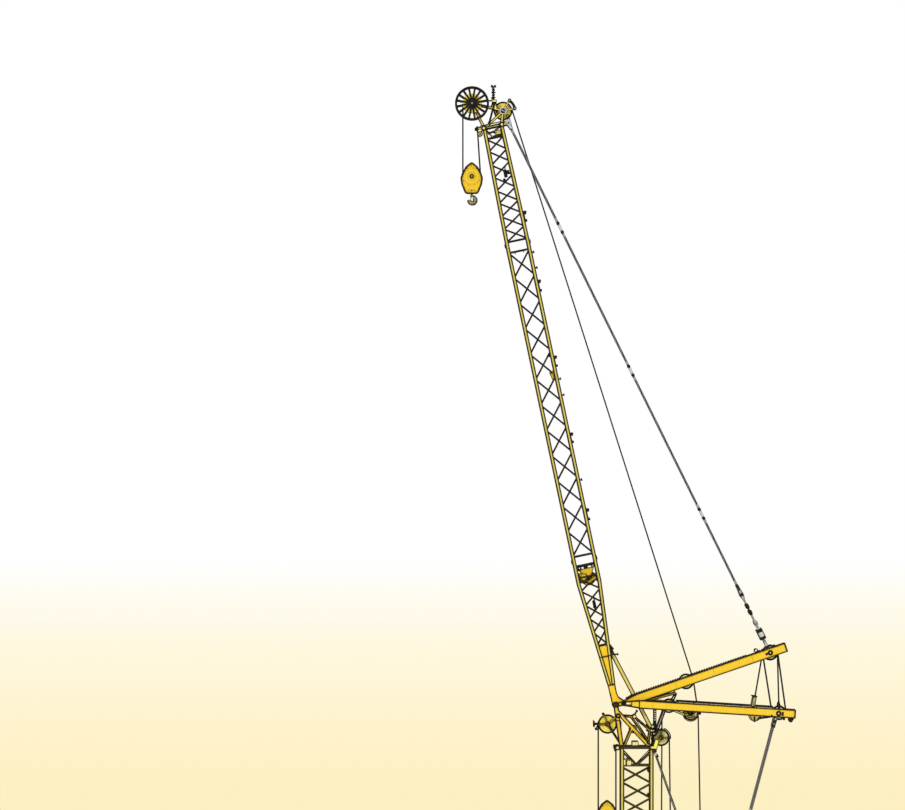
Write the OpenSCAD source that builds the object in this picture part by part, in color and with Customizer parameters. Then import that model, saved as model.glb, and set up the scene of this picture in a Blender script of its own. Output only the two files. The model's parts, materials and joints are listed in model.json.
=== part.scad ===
// Luffing-jib rig of a lattice-boom crawler crane, as a 1:2 scale model.
// +X runs to the rear of the crane, +Y to its right-hand side, +Z up. The origin
// is the middle of the boom, on the flat underside of its end frame.

/* [Main boom] */
// Chord spacing of the boom, front to rear
boom_depth = 1090; // [1040:10:1140]
// Chord spacing of the boom, side to side
boom_width = 1180; // [1150:10:1240]
// Diameter of the boom's chord tubes
boom_chord_d = 110; // [90:2:120]
// Diameter of the boom's bracing tubes
boom_brace_d = 60; // [44:2:66]
// Height of one lattice bay of the boom
boom_bay = 594; // [560:2:620]
// Number of whole lattice bays of the boom
boom_bays = 6; // [5:1:7]
// Height of the plain panel under the boom head
head_panel = 734; // [680:2:780]
// Side of the square tubes in the boom's end frame
end_tube = 90; // [76:2:100]

/* [Boom head] */
// Height and width of the beams round the boom head
head_beam = 120; // [104:2:130]
// Height of the jib pivot over the top of the head beams
pivot_rise = 1510; // [1460:10:1560]
// Distance of the jib pivot ahead of the boom's centreline
pivot_reach = 780; // [740:10:820]
// Distance of the mast pins behind the jib pivot
mast_pin_back = 297; // [285:1:315]
// Height of the mast pins over the jib pivot
mast_pin_up = 63; // [50:1:75]
// Thickness of the boom head's side frames
frame_t = 110; // [90:2:116]
// Outside radius of the front sheaves
front_sheave_r = 355; // [340:1:365]
// Outside radius of the rear sheaves
rear_sheave_r = 316; // [300:1:330]

/* [Jib] */
// Chord spacing of the jib, front to rear
jib_depth = 780; // [740:10:820]
// Chord spacing of the jib, side to side
jib_width = 960; // [950:2:974]
// Chord spacing at the jib's head, front to rear
jib_head_depth = 650; // [620:10:700]
// Diameter of the jib's chord tubes
jib_chord_d = 100; // [84:2:104]
// Diameter of the jib's bracing tubes
jib_brace_d = 48; // [36:2:50]
// Lean of the jib ahead of upright, resting on its backstops
jib_lean = 11.9; // [11:0.1:13]
// Length of the foot section
foot_len = 5500; // [5300:50:5700]
// Length of the middle section
middle_len = 12000; // [11500:100:12400]
// Length of the head section
head_len = 4450; // [4300:50:4600]
// Lattice bays of the foot section
foot_bays = 5; // [4:1:6]
// Lattice bays of the middle section
middle_bays = 12; // [11:1:13]
// Lattice bays of the head section
head_bays = 8; // [7:1:9]
// Outside radius of the running wheels
wheel_r = 632; // [600:2:660]
// Outside radius of the head sheaves
head_sheave_r = 350; // [335:1:365]
// Outside radius of the deflection sheave
deflection_r = 345; // [330:1:350]

/* [Masts] */
// Slope of the upper mast over level
upper_slope = 19; // [18:0.5:20]
// Slope of the lower mast under level
lower_slope = 3.6; // [3:0.1:4]
// Length of each mast from its pin to its tip
mast_len = 6370; // [6250:10:6500]
// Depth of the upper mast's box girders
upper_depth = 325; // [300:5:340]
// Depth of the lower mast's box girders
lower_depth = 305; // [290:5:320]
// Width of each box girder
girder_w = 120; // [104:2:124]
// Distance of the upper mast's girders from the middle plane
upper_y = 360; // [352:1:366]
// Outside radius of the sheaves on the masts
mast_sheave_r = 290; // [275:1:300]

/* [Ropes and hooks] */
// Diameter of the hoist and luffing ropes
rope_d = 26; // [18:1:30]
// Diameter of the pendant ropes
pendant_d = 72; // [56:2:80]
// Drop of the jib's hook block under the head sheave's axle
jib_hook_drop = 2700; // [2400:50:3000]
// Drop of the boom's hook block under the front sheave's axle
boom_hook_drop = 3340; // [3100:50:3500]
// Outside radius of the hook blocks' sheaves
block_sheave_r = 340; // [320:2:346]
// Height over the end frame at which the running ropes and pendants are socketed
socket_z = 1880; // [1700:10:2000]

/* [Hidden] */

// Clearances
seat = 0.2;             // between pieces bolted or welded together
run = 0.5;              // radial play of a turning piece on its shaft
free = 8;               // between pieces that move past each other

// Places worked out from the driving sizes
lattice_top = end_tube + boom_bays * boom_bay;
head_z = lattice_top + head_panel;
head_top = head_z + head_beam / 2;
head_under = head_z - head_beam / 2;
chord_x = boom_depth / 2;
chord_y = boom_width / 2;
pivot = [-pivot_reach, 0, head_top + pivot_rise];
mast_pin = pivot + [mast_pin_back, 0, mast_pin_up];
pivot_pin_r = 44;
mast_pin_r = 36;
leg_y = jib_width / 2;           // middle of each jib foot leg
leg_t = 90;                      // thickness of each jib foot leg
lower_y = chord_y + 10;          // middle of the lower mast's girders

// Shapes shared by several pieces ------------------------------------------------

function mix(a, b, t) = a + (b - a) * t;

// Point of the jib: v to the rear of the pivot, u along the jib
function jib_pt(v, u, y = 0) = pivot
    + [v * cos(jib_lean) - u * sin(jib_lean), y, v * sin(jib_lean) + u * cos(jib_lean)];

// Point of each mast: a along it from its pin, h square to it
function upper_pt(a, h, y = 0) = mast_pin
    + [a * cos(upper_slope) - h * sin(upper_slope), y, a * sin(upper_slope) + h * cos(upper_slope)];
function lower_pt(a, h, y = 0) = mast_pin
    + [a * cos(lower_slope) + h * sin(lower_slope), y, -a * sin(lower_slope) + h * cos(lower_slope)];

// Where a rope on the +X (side = 1) or -X side leaves two sheaves, at y
function rope_run(c1, r1, c2, r2, side, y = 0) =
    let (d = c2 - c1, span = norm([d[0], d[2]]), e = [d[0], 0, d[2]] / span,
        s = (r1 - r2) / span, turn = (e[2] > 0 ? 1 : -1) * side,
        n = s * e + sqrt(1 - s * s) * turn * [e[2], 0, -e[0]])
    [[c1[0] + r1 * n[0], y, c1[2] + r1 * n[2]], [c2[0] + r2 * n[0], y, c2[2] + r2 * n[2]]];

// Straight bar between two points
module bar(a, b, d, sides = 8) {
    v = b - a;
    span = norm(v);
    translate(a) rotate([0, acos(v[2] / span), atan2(v[1], v[0])])
        cylinder(h = span, d = d, $fn = sides);
}

// Shaft square to the middle plane, from y0 to y1
module shaft(at, r, y0, y1, sides = 48) {
    translate([at[0], y1, at[2]]) rotate([90, 0, 0]) cylinder(h = y1 - y0, r = r, $fn = sides);
}

// Plate of thickness t square to the middle plane, its outline drawn in X and Z
module plate(y, t) {
    translate([0, y + t / 2, 0]) rotate([90, 0, 0]) linear_extrude(height = t) children();
}

// Strip of width w between two points of an outline
module strip(a, b, w) {
    d = b - a;
    translate(a) rotate(atan2(d[1], d[0])) translate([0, -w / 2]) square([norm(d), w]);
}

// The same point as a pair, for outlines
function flat(p) = [p[0], p[2]];

// One bar across each bay between chord a and chord b, changing sides at each node
module zigzag(a0, a1, b0, b1, bays, d, start) {
    for (k = [0:bays - 1]) {
        low = k / bays;
        high = (k + 1) / bays;
        if ((k + start) % 2 == 0) bar(mix(a0, a1, low), mix(b0, b1, high), d);
        else bar(mix(b0, b1, low), mix(a0, a1, high), d);
    }
}

// Round pack of rope sheaves about the Y axis: grooves, rims, solid webs and hubs
module sheave_pack(r, count, pitch, bore_r, hub_r) {
    groove = groove_h / 2;
    web_t = pitch * 0.3;
    rim_t = pitch * 0.86;
    rim_in = r - 3.2 * groove;
    for (i = [0:count - 1]) translate([0, (i - (count - 1) / 2) * pitch, 0]) rotate([90, 0, 0])
        rotate_extrude($fn = 64) polygon([
            [bore_r, -pitch / 2], [hub_r, -pitch / 2], [hub_r, -web_t / 2], [rim_in, -web_t / 2],
            [rim_in + groove / 2, -rim_t / 2], [r, -rim_t / 2], [r - 2 * groove, -web_t / 6],
            [r - 2 * groove, web_t / 6], [r, rim_t / 2], [rim_in + groove / 2, rim_t / 2],
            [rim_in, web_t / 2], [hub_r, web_t / 2], [hub_r, pitch / 2], [bore_r, pitch / 2]]);
}

// Radius of a rope's middle line, seated in the groove of a sheave of radius r and that pitch
groove_h = rope_d + 4;
function pitch_r(r, pitch) = let (rise = 0.38 * pitch, slant = norm([groove_h, rise]))
    r - groove_h + ((rope_d / 2 + seat) * slant - 0.05 * pitch * groove_h) / rise;

// Pendant rope between two sockets, each with the eye that its pin goes through
module pendant_rope(a, b, d, y) {
    dir = (b - a) / norm(b - a);
    socket_len = 2.6 * d;
    bar(a + dir * socket_len + [0, y, 0], b - dir * socket_len + [0, y, 0], d);
    for (end = [[a, dir], [b, -dir]]) {
        p = end[0] + [0, y, 0];
        bar(p + end[1] * 0.8 * d, p + end[1] * (socket_len + 0.4 * d), d * 1.25);
        difference() {
            union() {
                plate(y, d * 0.5) { translate(flat(p)) circle(d * 0.8, $fn = 32);
                    strip(flat(p), flat(p + end[1] * 1.2 * d), d * 1.2); }
            }
            shaft(p, link_pin_r + seat, y - d, y + d);
        }
    }
}
link_pin_r = 18;

// Main boom -----------------------------------------------------------------------

module boom_end_frame() {
    lug = end_tube + 40;
    color([0.86, 0.68, 0.14]) {
            for (x = [-chord_x, chord_x]) translate([x - end_tube / 2, -chord_y, 0])
                cube([end_tube, boom_width, end_tube]);
            for (y = [-chord_y, chord_y]) translate([-chord_x, y - end_tube / 2, 0])
                cube([boom_depth, end_tube, end_tube]);
            linear_extrude(height = boom_brace_d) {
                strip([-chord_x, -chord_y], [chord_x, chord_y], boom_brace_d);
                strip([-chord_x, chord_y], [chord_x, -chord_y], boom_brace_d);
            }
            for (x = [-chord_x, chord_x], y = [-chord_y, chord_y])
                translate([x - lug / 2, y - lug / 2, 0]) cube([lug, lug, end_tube]);
    }
}

// Chords, lattice, level bar and K brace of one side; hand = 0 or 1 sets the first diagonal
module boom_side(y, hand) {
    front = [-chord_x, y, 0];
    rear = [chord_x, y, 0];
    foot = [0, 0, end_tube + seat];
    top = [0, 0, head_under - seat];
    bar_z = [0, 0, lattice_top + boom_brace_d];
    intersection() {
        union() {
            for (c = [front, rear]) bar(c + foot, c + top, boom_chord_d, 12);
            zigzag(front + [0, 0, end_tube], front + [0, 0, lattice_top],
                rear + [0, 0, end_tube], rear + [0, 0, lattice_top], boom_bays, boom_brace_d, hand);
            bar(front + bar_z, rear + bar_z, boom_brace_d * 1.2);
            for (c = [front, rear]) bar(c + [0, 0, head_under - boom_chord_d],
                [0, y, lattice_top + boom_brace_d], boom_brace_d);
        }
        translate([-boom_depth, y - boom_chord_d, end_tube + seat])
            cube([2 * boom_depth, 2 * boom_chord_d, head_under - end_tube - 2 * seat]);
    }
}
module boom_left_side() { color([0.86, 0.72, 0.2]) boom_side(-chord_y, 0); }
module boom_right_side() { color([0.86, 0.72, 0.2]) boom_side(chord_y, 1); }

// Diagonals across the boom's front or rear face, cut clear of the chords
module boom_face(x, hand) {
    difference() {
        union() {
            zigzag([x, -chord_y, end_tube], [x, -chord_y, lattice_top],
                [x, chord_y, end_tube], [x, chord_y, lattice_top], boom_bays, boom_brace_d, hand);
            bar([x, -chord_y, lattice_top + boom_brace_d], [x, chord_y, lattice_top + boom_brace_d],
                boom_brace_d * 1.2);
        }
        for (y = [-chord_y, chord_y]) bar([x, y, 0], [x, y, head_top], boom_chord_d + 2 * seat, 12);
        translate([x - boom_chord_d, -boom_width, 0]) cube([2 * boom_chord_d, 2 * boom_width, end_tube + seat]);
    }
}
module boom_front_bracing() { color([0.3, 0.3, 0.1]) boom_face(-chord_x, 0); }
module boom_rear_bracing() { color([0.3, 0.3, 0.1]) boom_face(chord_x, 1); }

// Boom head -----------------------------------------------------------------------

module boom_head_beams() {
    color([0.25, 0.25, 0.1]) {
        for (x = [-chord_x, chord_x]) translate([x - head_beam / 2, -chord_y - head_beam / 2, head_under])
            cube([head_beam, boom_width + head_beam, head_beam]);
        for (y = [-chord_y, chord_y]) translate([-chord_x, y - head_beam / 2, head_under])
            cube([boom_depth, head_beam, head_beam]);
    }
}

post_w = 140;
leg_w = 140;
post_foot = [-chord_x - 20, head_top];
cheek_bar = [pivot[0] + 90, pivot[2] - 395];      // cross tube under the jib pivot
rear_bar = [chord_x - 105, head_top + 130];       // cross tube over the rear beam
cheek_bar_d = 130;
rear_bar_d = 100;

// One side frame: post, diagonal leg, inner strut, pivot eye and the lower mast's lug
module head_side_frame(side) {
    y = side * chord_y;
    leg_top = mix(post_foot, flat(pivot), 0.86);
    leg_foot = [chord_x - 95, head_top];
    strut_top = mix(leg_top, leg_foot, 0.48);
    lug_t = 50;
    difference() {
        union() {
            plate(y, frame_t) difference() {
                union() {
                    strip(post_foot, flat(pivot), post_w);
                    strip(leg_top, mix(leg_top, leg_foot, 1.1), leg_w);
                    strip([-chord_x + 70, head_top - 40], strut_top, 74);
                    translate(flat(pivot)) circle(118, $fn = 64);
                }
                translate([-2 * boom_depth, head_top - boom_depth + seat]) square([4 * boom_depth, boom_depth]);
            }
            plate(side * lower_y, lug_t) {
                strip(flat(pivot), flat(mast_pin), 150);
                translate(flat(mast_pin)) circle(88, $fn = 64);
            }
        }
        shaft(pivot, pivot_pin_r + seat, y - frame_t, y + frame_t);
        shaft(mast_pin, mast_pin_r + seat, y - frame_t, y + frame_t);
        for (at = [cheek_bar, rear_bar]) shaft([at[0], 0, at[1]], (at == cheek_bar ? cheek_bar_d : rear_bar_d) / 2
            + seat, y - frame_t, y + frame_t);
    }
}
module boom_head_left_frame() { color([0.97, 0.8, 0.15]) head_side_frame(-1); }
module boom_head_right_frame() { color([0.97, 0.8, 0.15]) head_side_frame(1); }

// Backstop: upper pin on the jib, lower end resting against a pad on the boom head
stop_back = 262;
stop_u = 1910;
stop_top = jib_pt(stop_back, stop_u);
stop_end = pivot + [1293, 0, -821];
stop_dir = (stop_end - stop_top) / norm(stop_end - stop_top);
stop_d = 104;
stop_y = 230;
stop_gap = 5;

// Cross tubes, pivot pins with their inner cheeks, and the inner frames that carry the backstop pads
module boom_head_crossbars() {
    cheek_t = 40;
    cheek_y = leg_y - leg_t / 2 - free - cheek_t / 2;
    hub = [cheek_bar[0] + 597, cheek_bar[1] - 43];
    elbow = [stop_end[0] - 20, stop_end[2] - 130];
    pad = flat(stop_end + stop_dir * (stop_gap + 15));
    across = [-stop_dir[2], stop_dir[0]];
    under = pad + [stop_dir[0], stop_dir[2]] * 10;
    color([0.9, 0.74, 0.2]) {
        shaft([cheek_bar[0], 0, cheek_bar[1]], cheek_bar_d / 2, -chord_y - frame_t / 2, chord_y + frame_t / 2);
        shaft([rear_bar[0], 0, rear_bar[1]], rear_bar_d / 2, -chord_y - frame_t / 2, chord_y + frame_t / 2);
        for (side = [-1, 1]) {
            plate(side * cheek_y, cheek_t) {
                strip(cheek_bar, flat(pivot), 150);
                translate(flat(pivot)) circle(96, $fn = 64);
                translate(cheek_bar) circle(90, $fn = 64);
            }
            shaft(pivot, pivot_pin_r, min(side * (cheek_y - 10), side * (chord_y + frame_t / 2)),
                max(side * (cheek_y - 10), side * (chord_y + frame_t / 2)));
            plate(side * stop_y, 40) {
                strip(cheek_bar, hub, 70);
                strip(hub, elbow, 70);
                strip(hub - [110, 20], rear_bar, 60);
                strip(elbow, rear_bar, 80);
                strip(elbow, under, 60);
                translate(hub) circle(66, $fn = 48);
                translate(elbow) circle(50, $fn = 48);
            }
            plate(side * stop_y, 130) strip(pad - across * 65, pad + across * 65, 30);
        }
        shaft([hub[0], 0, hub[1]], 36, -stop_y, stop_y);
    }
}

front_pitch = 2 * rope_d;
block_pitch = 2.3 * rope_d;
front_axle = [pivot[0] - 297, 0, pivot[2] - 720];
boom_fall_x = front_axle[0] - pitch_r(front_sheave_r, front_pitch);
fall_r = pitch_r(block_sheave_r, block_pitch);
front_arm_y = 1.5 * front_pitch + 24;
axle_r = 40;

// Arms that carry the front sheaves, their guard, and the fixed end of the boom's falls
module front_sheave_arms() {
    beam_face = -chord_x - head_beam / 2;
    anchor = [boom_fall_x + 2 * fall_r, head_z - 40];
    color([0.2, 0.2, 0.1]) {
        difference() {
            for (side = [-1, 1]) plate(side * front_arm_y, 30) difference() {
                union() {
                    translate(cheek_bar) circle(cheek_bar_d / 2 + 45, $fn = 48);
                    strip(flat(front_axle), cheek_bar, 70);
                    strip(flat(front_axle), [-chord_x + 20, head_top - 60], 70);
                    strip(flat(front_axle), flat(front_axle) - [front_sheave_r + 150, 0], 56);
                    translate(flat(front_axle)) circle(70, $fn = 48);
                }
                translate([-2 * boom_depth, head_top - boom_depth + seat]) square([4 * boom_depth, boom_depth]);
            }
            shaft([cheek_bar[0], 0, cheek_bar[1]], cheek_bar_d / 2 + seat, -300, 300);
        }
        shaft(front_axle, axle_r, -front_arm_y - 15, front_arm_y + 15);
        translate([front_axle[0] - front_sheave_r - 150, -front_arm_y - 60, front_axle[2] - 110])
            cube([24, 2 * front_arm_y + 120, 220]);
        plate(0, 60) {
            translate(anchor) circle(60, $fn = 48);
            strip(anchor, [beam_face - seat, anchor[1]], 110);
        }
    }
}
module front_sheaves() {
    color([0.98, 0.8, 0.15]) translate(front_axle) sheave_pack(front_sheave_r, 3, front_pitch, axle_r + run, 95);
}

rear_axle = [chord_x + 365, 0, head_top + 290];
rear_pitch = 1.9 * rope_d;
rear_arm_y = rear_pitch + 40;
link_pin = [chord_x + 105, 0, head_z - 116];
link_t = 50;
link_y = chord_y + head_beam / 2 + seat + link_t / 2;
module rear_sheave_bracket() {
    face = chord_x + head_beam / 2 + seat;
    color([0.95, 0.75, 0.15]) {
        for (side = [-1, 1]) plate(side * rear_arm_y, 30) difference() {
            union() {
                strip([face, head_z], flat(rear_axle), 110);
                translate([face, head_under]) square([70, head_beam]);
                translate(flat(rear_axle)) circle(70, $fn = 48);
            }
            translate([face - head_beam, head_under]) square([head_beam, 2 * head_beam]);
        }
        shaft(rear_axle, axle_r, -rear_arm_y - 15, rear_arm_y + 15);
        for (side = [-1, 1]) difference() {
            plate(side * link_y, link_t) {
                translate([chord_x - 30, head_under + 10]) square([140, head_beam - 20]);
                strip([face + 150, head_top + 230], flat(link_pin), 150);
                translate(flat(link_pin)) circle(88, $fn = 48);
            }
            shaft(link_pin, link_pin_r + seat, side * link_y - link_t, side * link_y + link_t);
        }
    }
}
module rear_sheaves() {
    color([0.98, 0.8, 0.15]) translate(rear_axle) sheave_pack(rear_sheave_r, 2, rear_pitch, axle_r + run, 85);
}

// Winch drum with end flanges and side plates, standing on the rear beam
winch_y = 180;
winch_t = 30;
module head_winch() {
    at = [rear_bar[0] + 190, 0, rear_bar[1] + 330];
    drum_y = winch_y - winch_t / 2;
    color([0.15, 0.15, 0.12]) {
        for (side = [-1, 1]) {
            for (drum = [[90, 75, drum_y], [135, 75, 95], [135, drum_y - 20, drum_y]])
                shaft(at, drum[0], min(side * drum[1], side * drum[2]), max(side * drum[1], side * drum[2]));
            plate(side * winch_y, winch_t) difference() {
                union() {
                    strip(flat(at) + [15, 0], flat(at) + [15, 240], 90);
                    translate(flat(at)) circle(80, $fn = 48);
                    strip(flat(at), [chord_x + 15, head_top - 60], 80);
                }
                translate([0, head_top - boom_depth + seat]) square([2 * boom_depth, boom_depth]);
            }
        }
    }
}

// Pair of lamp posts on the winch plates, reaching up between the mast's girders
module mast_rest_post() {
    foot = [rear_bar[0] + 205, 0, rear_bar[1] + 485];
    y = winch_y - winch_t / 2 - 25 - seat;
    top_z = mast_pin[2] - 220;
    color([0.12, 0.12, 0.1]) for (side = [-1, 1]) {
        translate([foot[0], side * y, foot[2]]) cylinder(h = top_z - foot[2], r = 25, $fn = 32);
        for (k = [1:6]) translate([foot[0], side * y, mix(foot[2] + 100, top_z, k / 6) - 36])
            cylinder(h = 36, r = 32, $fn = 12);
    }
}

// Lower mast ----------------------------------------------------------------------

module in_lower_mast() { translate(mast_pin) rotate([0, lower_slope, 0]) children(); }
module in_upper_mast() { translate(mast_pin) rotate([0, -upper_slope, 0]) children(); }

// Box girder with a root eye at its pin, tapering up to full depth
module mast_girder(y, depth, taper) {
    plate(y, girder_w) difference() {
        union() {
            circle(84, $fn = 64);
            polygon([[0, -84], [taper, -depth / 2], [mast_len, -depth / 2], [mast_len, depth / 2],
                [taper, depth / 2], [0, 84]]);
        }
        circle(mast_pin_r + seat, $fn = 48);
    }
}

fork_slot = 54;
module lower_girder(side) {
    y = side * lower_y;
    color([0.98, 0.8, 0.15]) in_lower_mast() {
        difference() {
            mast_girder(y, lower_depth, 580);
            translate([-100, y - fork_slot / 2, -120]) cube([290, fork_slot, 240]);
        }
    }
    color([0.3, 0.3, 0.2]) shaft(mast_pin, mast_pin_r, y - girder_w / 2, y + girder_w / 2);
}
module lower_mast_left() { lower_girder(-1); }
module lower_mast_right() { lower_girder(1); }

post_at = mast_len - 1520;         // pin of the rope post, and how high it stands
post_h = lower_depth / 2 + 360;
anchor_at = mast_len - 615;        // socket of the fixed luffing rope, and how high its top is
anchor_h = lower_depth / 2 + 290;
inner_at = 1694;                   // inner sheave, on one side of the middle
inner_y = 140;
inner_r = 270;
guide_at = 2490;
lower_guide = [guide_at + 22, -219];
tip_at = mast_len - 613;
pendant_at = mast_len - 720;       // eye of the lower mast's pendants
lower_guide_c = lower_pt(lower_guide[0], lower_guide[1]);
lower_tip_c = lower_pt(tip_at + 30, 0);
upper_guide_c = upper_pt(guide_at - 34, 0);
upper_tip_c = upper_pt(tip_at, 0);
guide_pitch = 2.3 * rope_d;
tip_pitch = 2.15 * rope_d;
tip_count = 5;
extra_y = (tip_count + 1) / 2 * tip_pitch;   // outer grooves of the upper mast's tip sheaves

// Cross tubes and sheave axles between the lower mast's girders
module lower_mast_crossbars() {
    half = lower_y - girder_w / 2 - seat;
    color([0.85, 0.7, 0.2]) {
        in_lower_mast() {
            for (a = [3400, 4400, mast_len - 1120, mast_len - 110]) shaft([a, 0, 0], 55, -half, half, 24);
            difference() {
                union() {
                    shaft([2060, 0, 0], 55, -half, half, 24);
                    for (side = [-1, 1]) plate(side * (guide_pitch + 30), 30) {
                        strip([2060, 0], lower_guide, 90);
                        translate(lower_guide) circle(66, $fn = 48);
                    }
                }
            }
            shaft([lower_guide[0], 0, lower_guide[1]], axle_r, -guide_pitch - 40, guide_pitch + 40);
            shaft([inner_at, 0, 0], axle_r, -half, half);
        }
        shaft(lower_tip_c, axle_r, -half, half);
    }
}
module lower_guide_sheave() {
    color([0.98, 0.8, 0.15]) translate(lower_guide_c) sheave_pack(mast_sheave_r, 1, guide_pitch, axle_r + run, 90);
}
module lower_tip_sheaves() {
    color([0.98, 0.8, 0.15]) translate(lower_tip_c)
        sheave_pack(mast_sheave_r - 20, tip_count, tip_pitch, axle_r + run, 80);
}

module lower_inner_sheave() {
    color([0.98, 0.8, 0.15]) translate(lower_pt(inner_at, 0, inner_y))
        sheave_pack(inner_r, 1, guide_pitch, axle_r + run, 90);
}

// Rails, rope post, rope anchor and buffers on the lower mast
module lower_mast_fittings() {
    rail_h = lower_depth / 2 + 50;
    half = lower_y - girder_w / 2 - seat;
    color([0.2, 0.2, 0.16]) in_lower_mast() {
        for (side = [-1, 1]) {
            bar([1950, side * lower_y, rail_h], [mast_len - 810, side * lower_y, rail_h], 26);
            for (k = [0:6]) {
                a = mix(1990, mast_len - 850, k / 6);
                translate([a - 15, side * lower_y - 15, lower_depth / 2 + seat]) cube([30, 30, rail_h - lower_depth / 2]);
            }
            translate([mast_len - 110, side * lower_y - 40, -lower_depth / 2 - seat - 80]) cube([70, 80, 80]);
            plate(side * lower_y, 50) translate([post_at - 130, lower_depth / 2 + seat])
                polygon([[0, 0], [150, 0], [190, 400], [60, 400]]);
        }
        shaft([post_at, 0, post_h], 30, -lower_y + 25 + seat, lower_y - 25 - seat);
        for (side = [-1, 1]) translate([anchor_at - 50, side * lower_y - 40, lower_depth / 2 + seat])
            cube([100, 80, 190]);
        shaft([anchor_at, 0, anchor_h - 130], 30, -lower_y, lower_y);
        translate([anchor_at, extra_y, anchor_h - 140]) cylinder(h = 140, r1 = 60, r2 = 32, $fn = 24);
    }
}

// Pendants that hold the lower mast down to the crane behind the boom
module lower_mast_pendants() {
    top = lower_pt(pendant_at, -lower_depth / 2 - 70);
    foot = [top[0] - 950, 0, socket_z];
    eye_t = 40;
    for (side = [-1, 1]) {
        y = side * lower_y;
        color([0.55, 0.55, 0.55]) pendant_rope(top, foot, pendant_d, y);
        color([0.2, 0.2, 0.18]) {
            shaft(top, link_pin_r, y - 60, y + 60);
            for (s = [-1, 1]) plate(y + s * 40, 28) {
                translate(flat(top)) circle(56, $fn = 32);
                strip(flat(top), flat(lower_pt(pendant_at, -lower_depth / 2 - seat)), 110);
            }
            shaft([foot[0], 0, foot[2]], link_pin_r, y - 50, y + 50);
        }
    }
}

// Pendants from the boom head down to the crane
module boom_pendants() {
    foot = [link_pin[0] + 855, 0, socket_z];
    for (side = [-1, 1]) {
        y = side * link_y;
        color([0.55, 0.55, 0.55]) {
            dir = (foot - link_pin) / norm(foot - link_pin);
            shaft(link_pin, link_pin_r, y - 55, y + 55);
            for (s = [-1, 1]) plate(y + s * (link_t / 2 + 12), 20) {
                strip(flat(link_pin), flat(link_pin + dir * 200), 90);
                translate(flat(link_pin)) circle(50, $fn = 32);
            }
            bar(link_pin + dir * 120 + [0, y, 0], link_pin + dir * 260 + [0, y, 0], 78);
            bar(link_pin + dir * 250 + [0, y, 0], foot - dir * 180 + [0, y, 0], pendant_d);
            bar(foot - dir * 190 + [0, y, 0], foot - dir * 50 + [0, y, 0], pendant_d * 1.25);
            difference() {
                plate(y, 36) {
                    translate(flat(foot)) circle(58, $fn = 32);
                    strip(flat(foot), flat(foot - dir * 90), 86);
                }
                shaft(foot, link_pin_r + seat, y - 50, y + 50);
            }
        }
    }
}

// Socket on the end of a running rope
module rope_socket(p, dir) {
    bar(p, p + dir * 150, 60, 12);
    translate(p + dir * 190) rotate([90, 0, 0]) difference() {
        cylinder(h = 40, r = 50, center = true, $fn = 32);
        cylinder(h = 60, r = 20, center = true, $fn = 32);
    }
}

// Hoist rope from the lower mast down to the winches, and the two behind the boom
rope_y = rear_pitch / 2;
module running_ropes() {
    guide = lower_guide_c + [pitch_r(mast_sheave_r, guide_pitch), 0, 0];
    tail_foot = [guide[0] + 75, 0, socket_z];
    rear_top = rear_axle + [pitch_r(rear_sheave_r, rear_pitch), rope_y, 0];
    inner = lower_pt(inner_at, 0, inner_y) - [pitch_r(inner_r, guide_pitch), 0, 0];
    color([0.12, 0.12, 0.12]) {
        for (run_ends = [[guide, tail_foot], [rear_top, [rear_top[0] + 40, rope_y, socket_z]],
            [inner, [inner[0] - 18, inner_y, socket_z]]]) {
            bar(run_ends[0], run_ends[1], rope_d, 24);
            rope_socket(run_ends[1], (run_ends[1] - run_ends[0]) / norm(run_ends[1] - run_ends[0]));
        }
    }
}

// Jib -----------------------------------------------------------------------------

module in_jib() { translate(pivot) rotate([0, -jib_lean, 0]) children(); }

collar_u = 760;
plate_top_u = 2230;
foot_u = foot_len;
taper_u = foot_u - 850;
middle_u = foot_u + middle_len;
head_u = middle_u + head_len;
foot_half = 122;
collar_half = foot_half - jib_chord_d / 2 + 6;
jib_offset = 30;         // the chords' middle lies this far ahead of the pivot
function half_at(u) = lookup(u, [[collar_u, collar_half], [taper_u, jib_depth / 2],
    [middle_u, jib_depth / 2], [head_u, jib_head_depth / 2]]);
function offset_at(u) = lookup(u, [[collar_u, 0], [taper_u, jib_offset]]);
function front_at(u, y) = [-half_at(u) - offset_at(u), y, u];
function rear_at(u, y) = [half_at(u) - offset_at(u), y, u];
module chord(at_front, y, stops, d) {
    for (k = [0:len(stops) - 2]) bar(at_front ? front_at(stops[k], y) : rear_at(stops[k], y),
        at_front ? front_at(stops[k + 1], y) : rear_at(stops[k + 1], y), d, 12);
}

// Chords, lattice, level bars and joint blocks of one side of a section
module jib_side(y, stops, low, high, bays, hand) {
    last = len(stops) - 1;
    for (at_front = [true, false]) chord(at_front, y, stops, jib_chord_d);
    zigzag(front_at(low, y), front_at(high, y), rear_at(low, y), rear_at(high, y), bays, jib_brace_d, hand);
    for (u = [low, high]) bar(front_at(u, y), rear_at(u, y), jib_brace_d);
}

// Forked joint blocks at a section's end; dir = 1 where the section ends upwards
module joint_blocks(y, u, dir) {
    block = jib_chord_d + 24;
    for (at_front = [true, false]) {
        p = at_front ? front_at(u, y) : rear_at(u, y);
        translate(p + [-block / 2, -block / 2, dir > 0 ? -90 : 0]) cube([block, block, 90]);
        translate(p + [at_front ? -block / 2 - 40 : block / 2 - 10, -20, dir > 0 ? -70 : 0]) cube([50, 40, 70]);
    }
}

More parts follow.
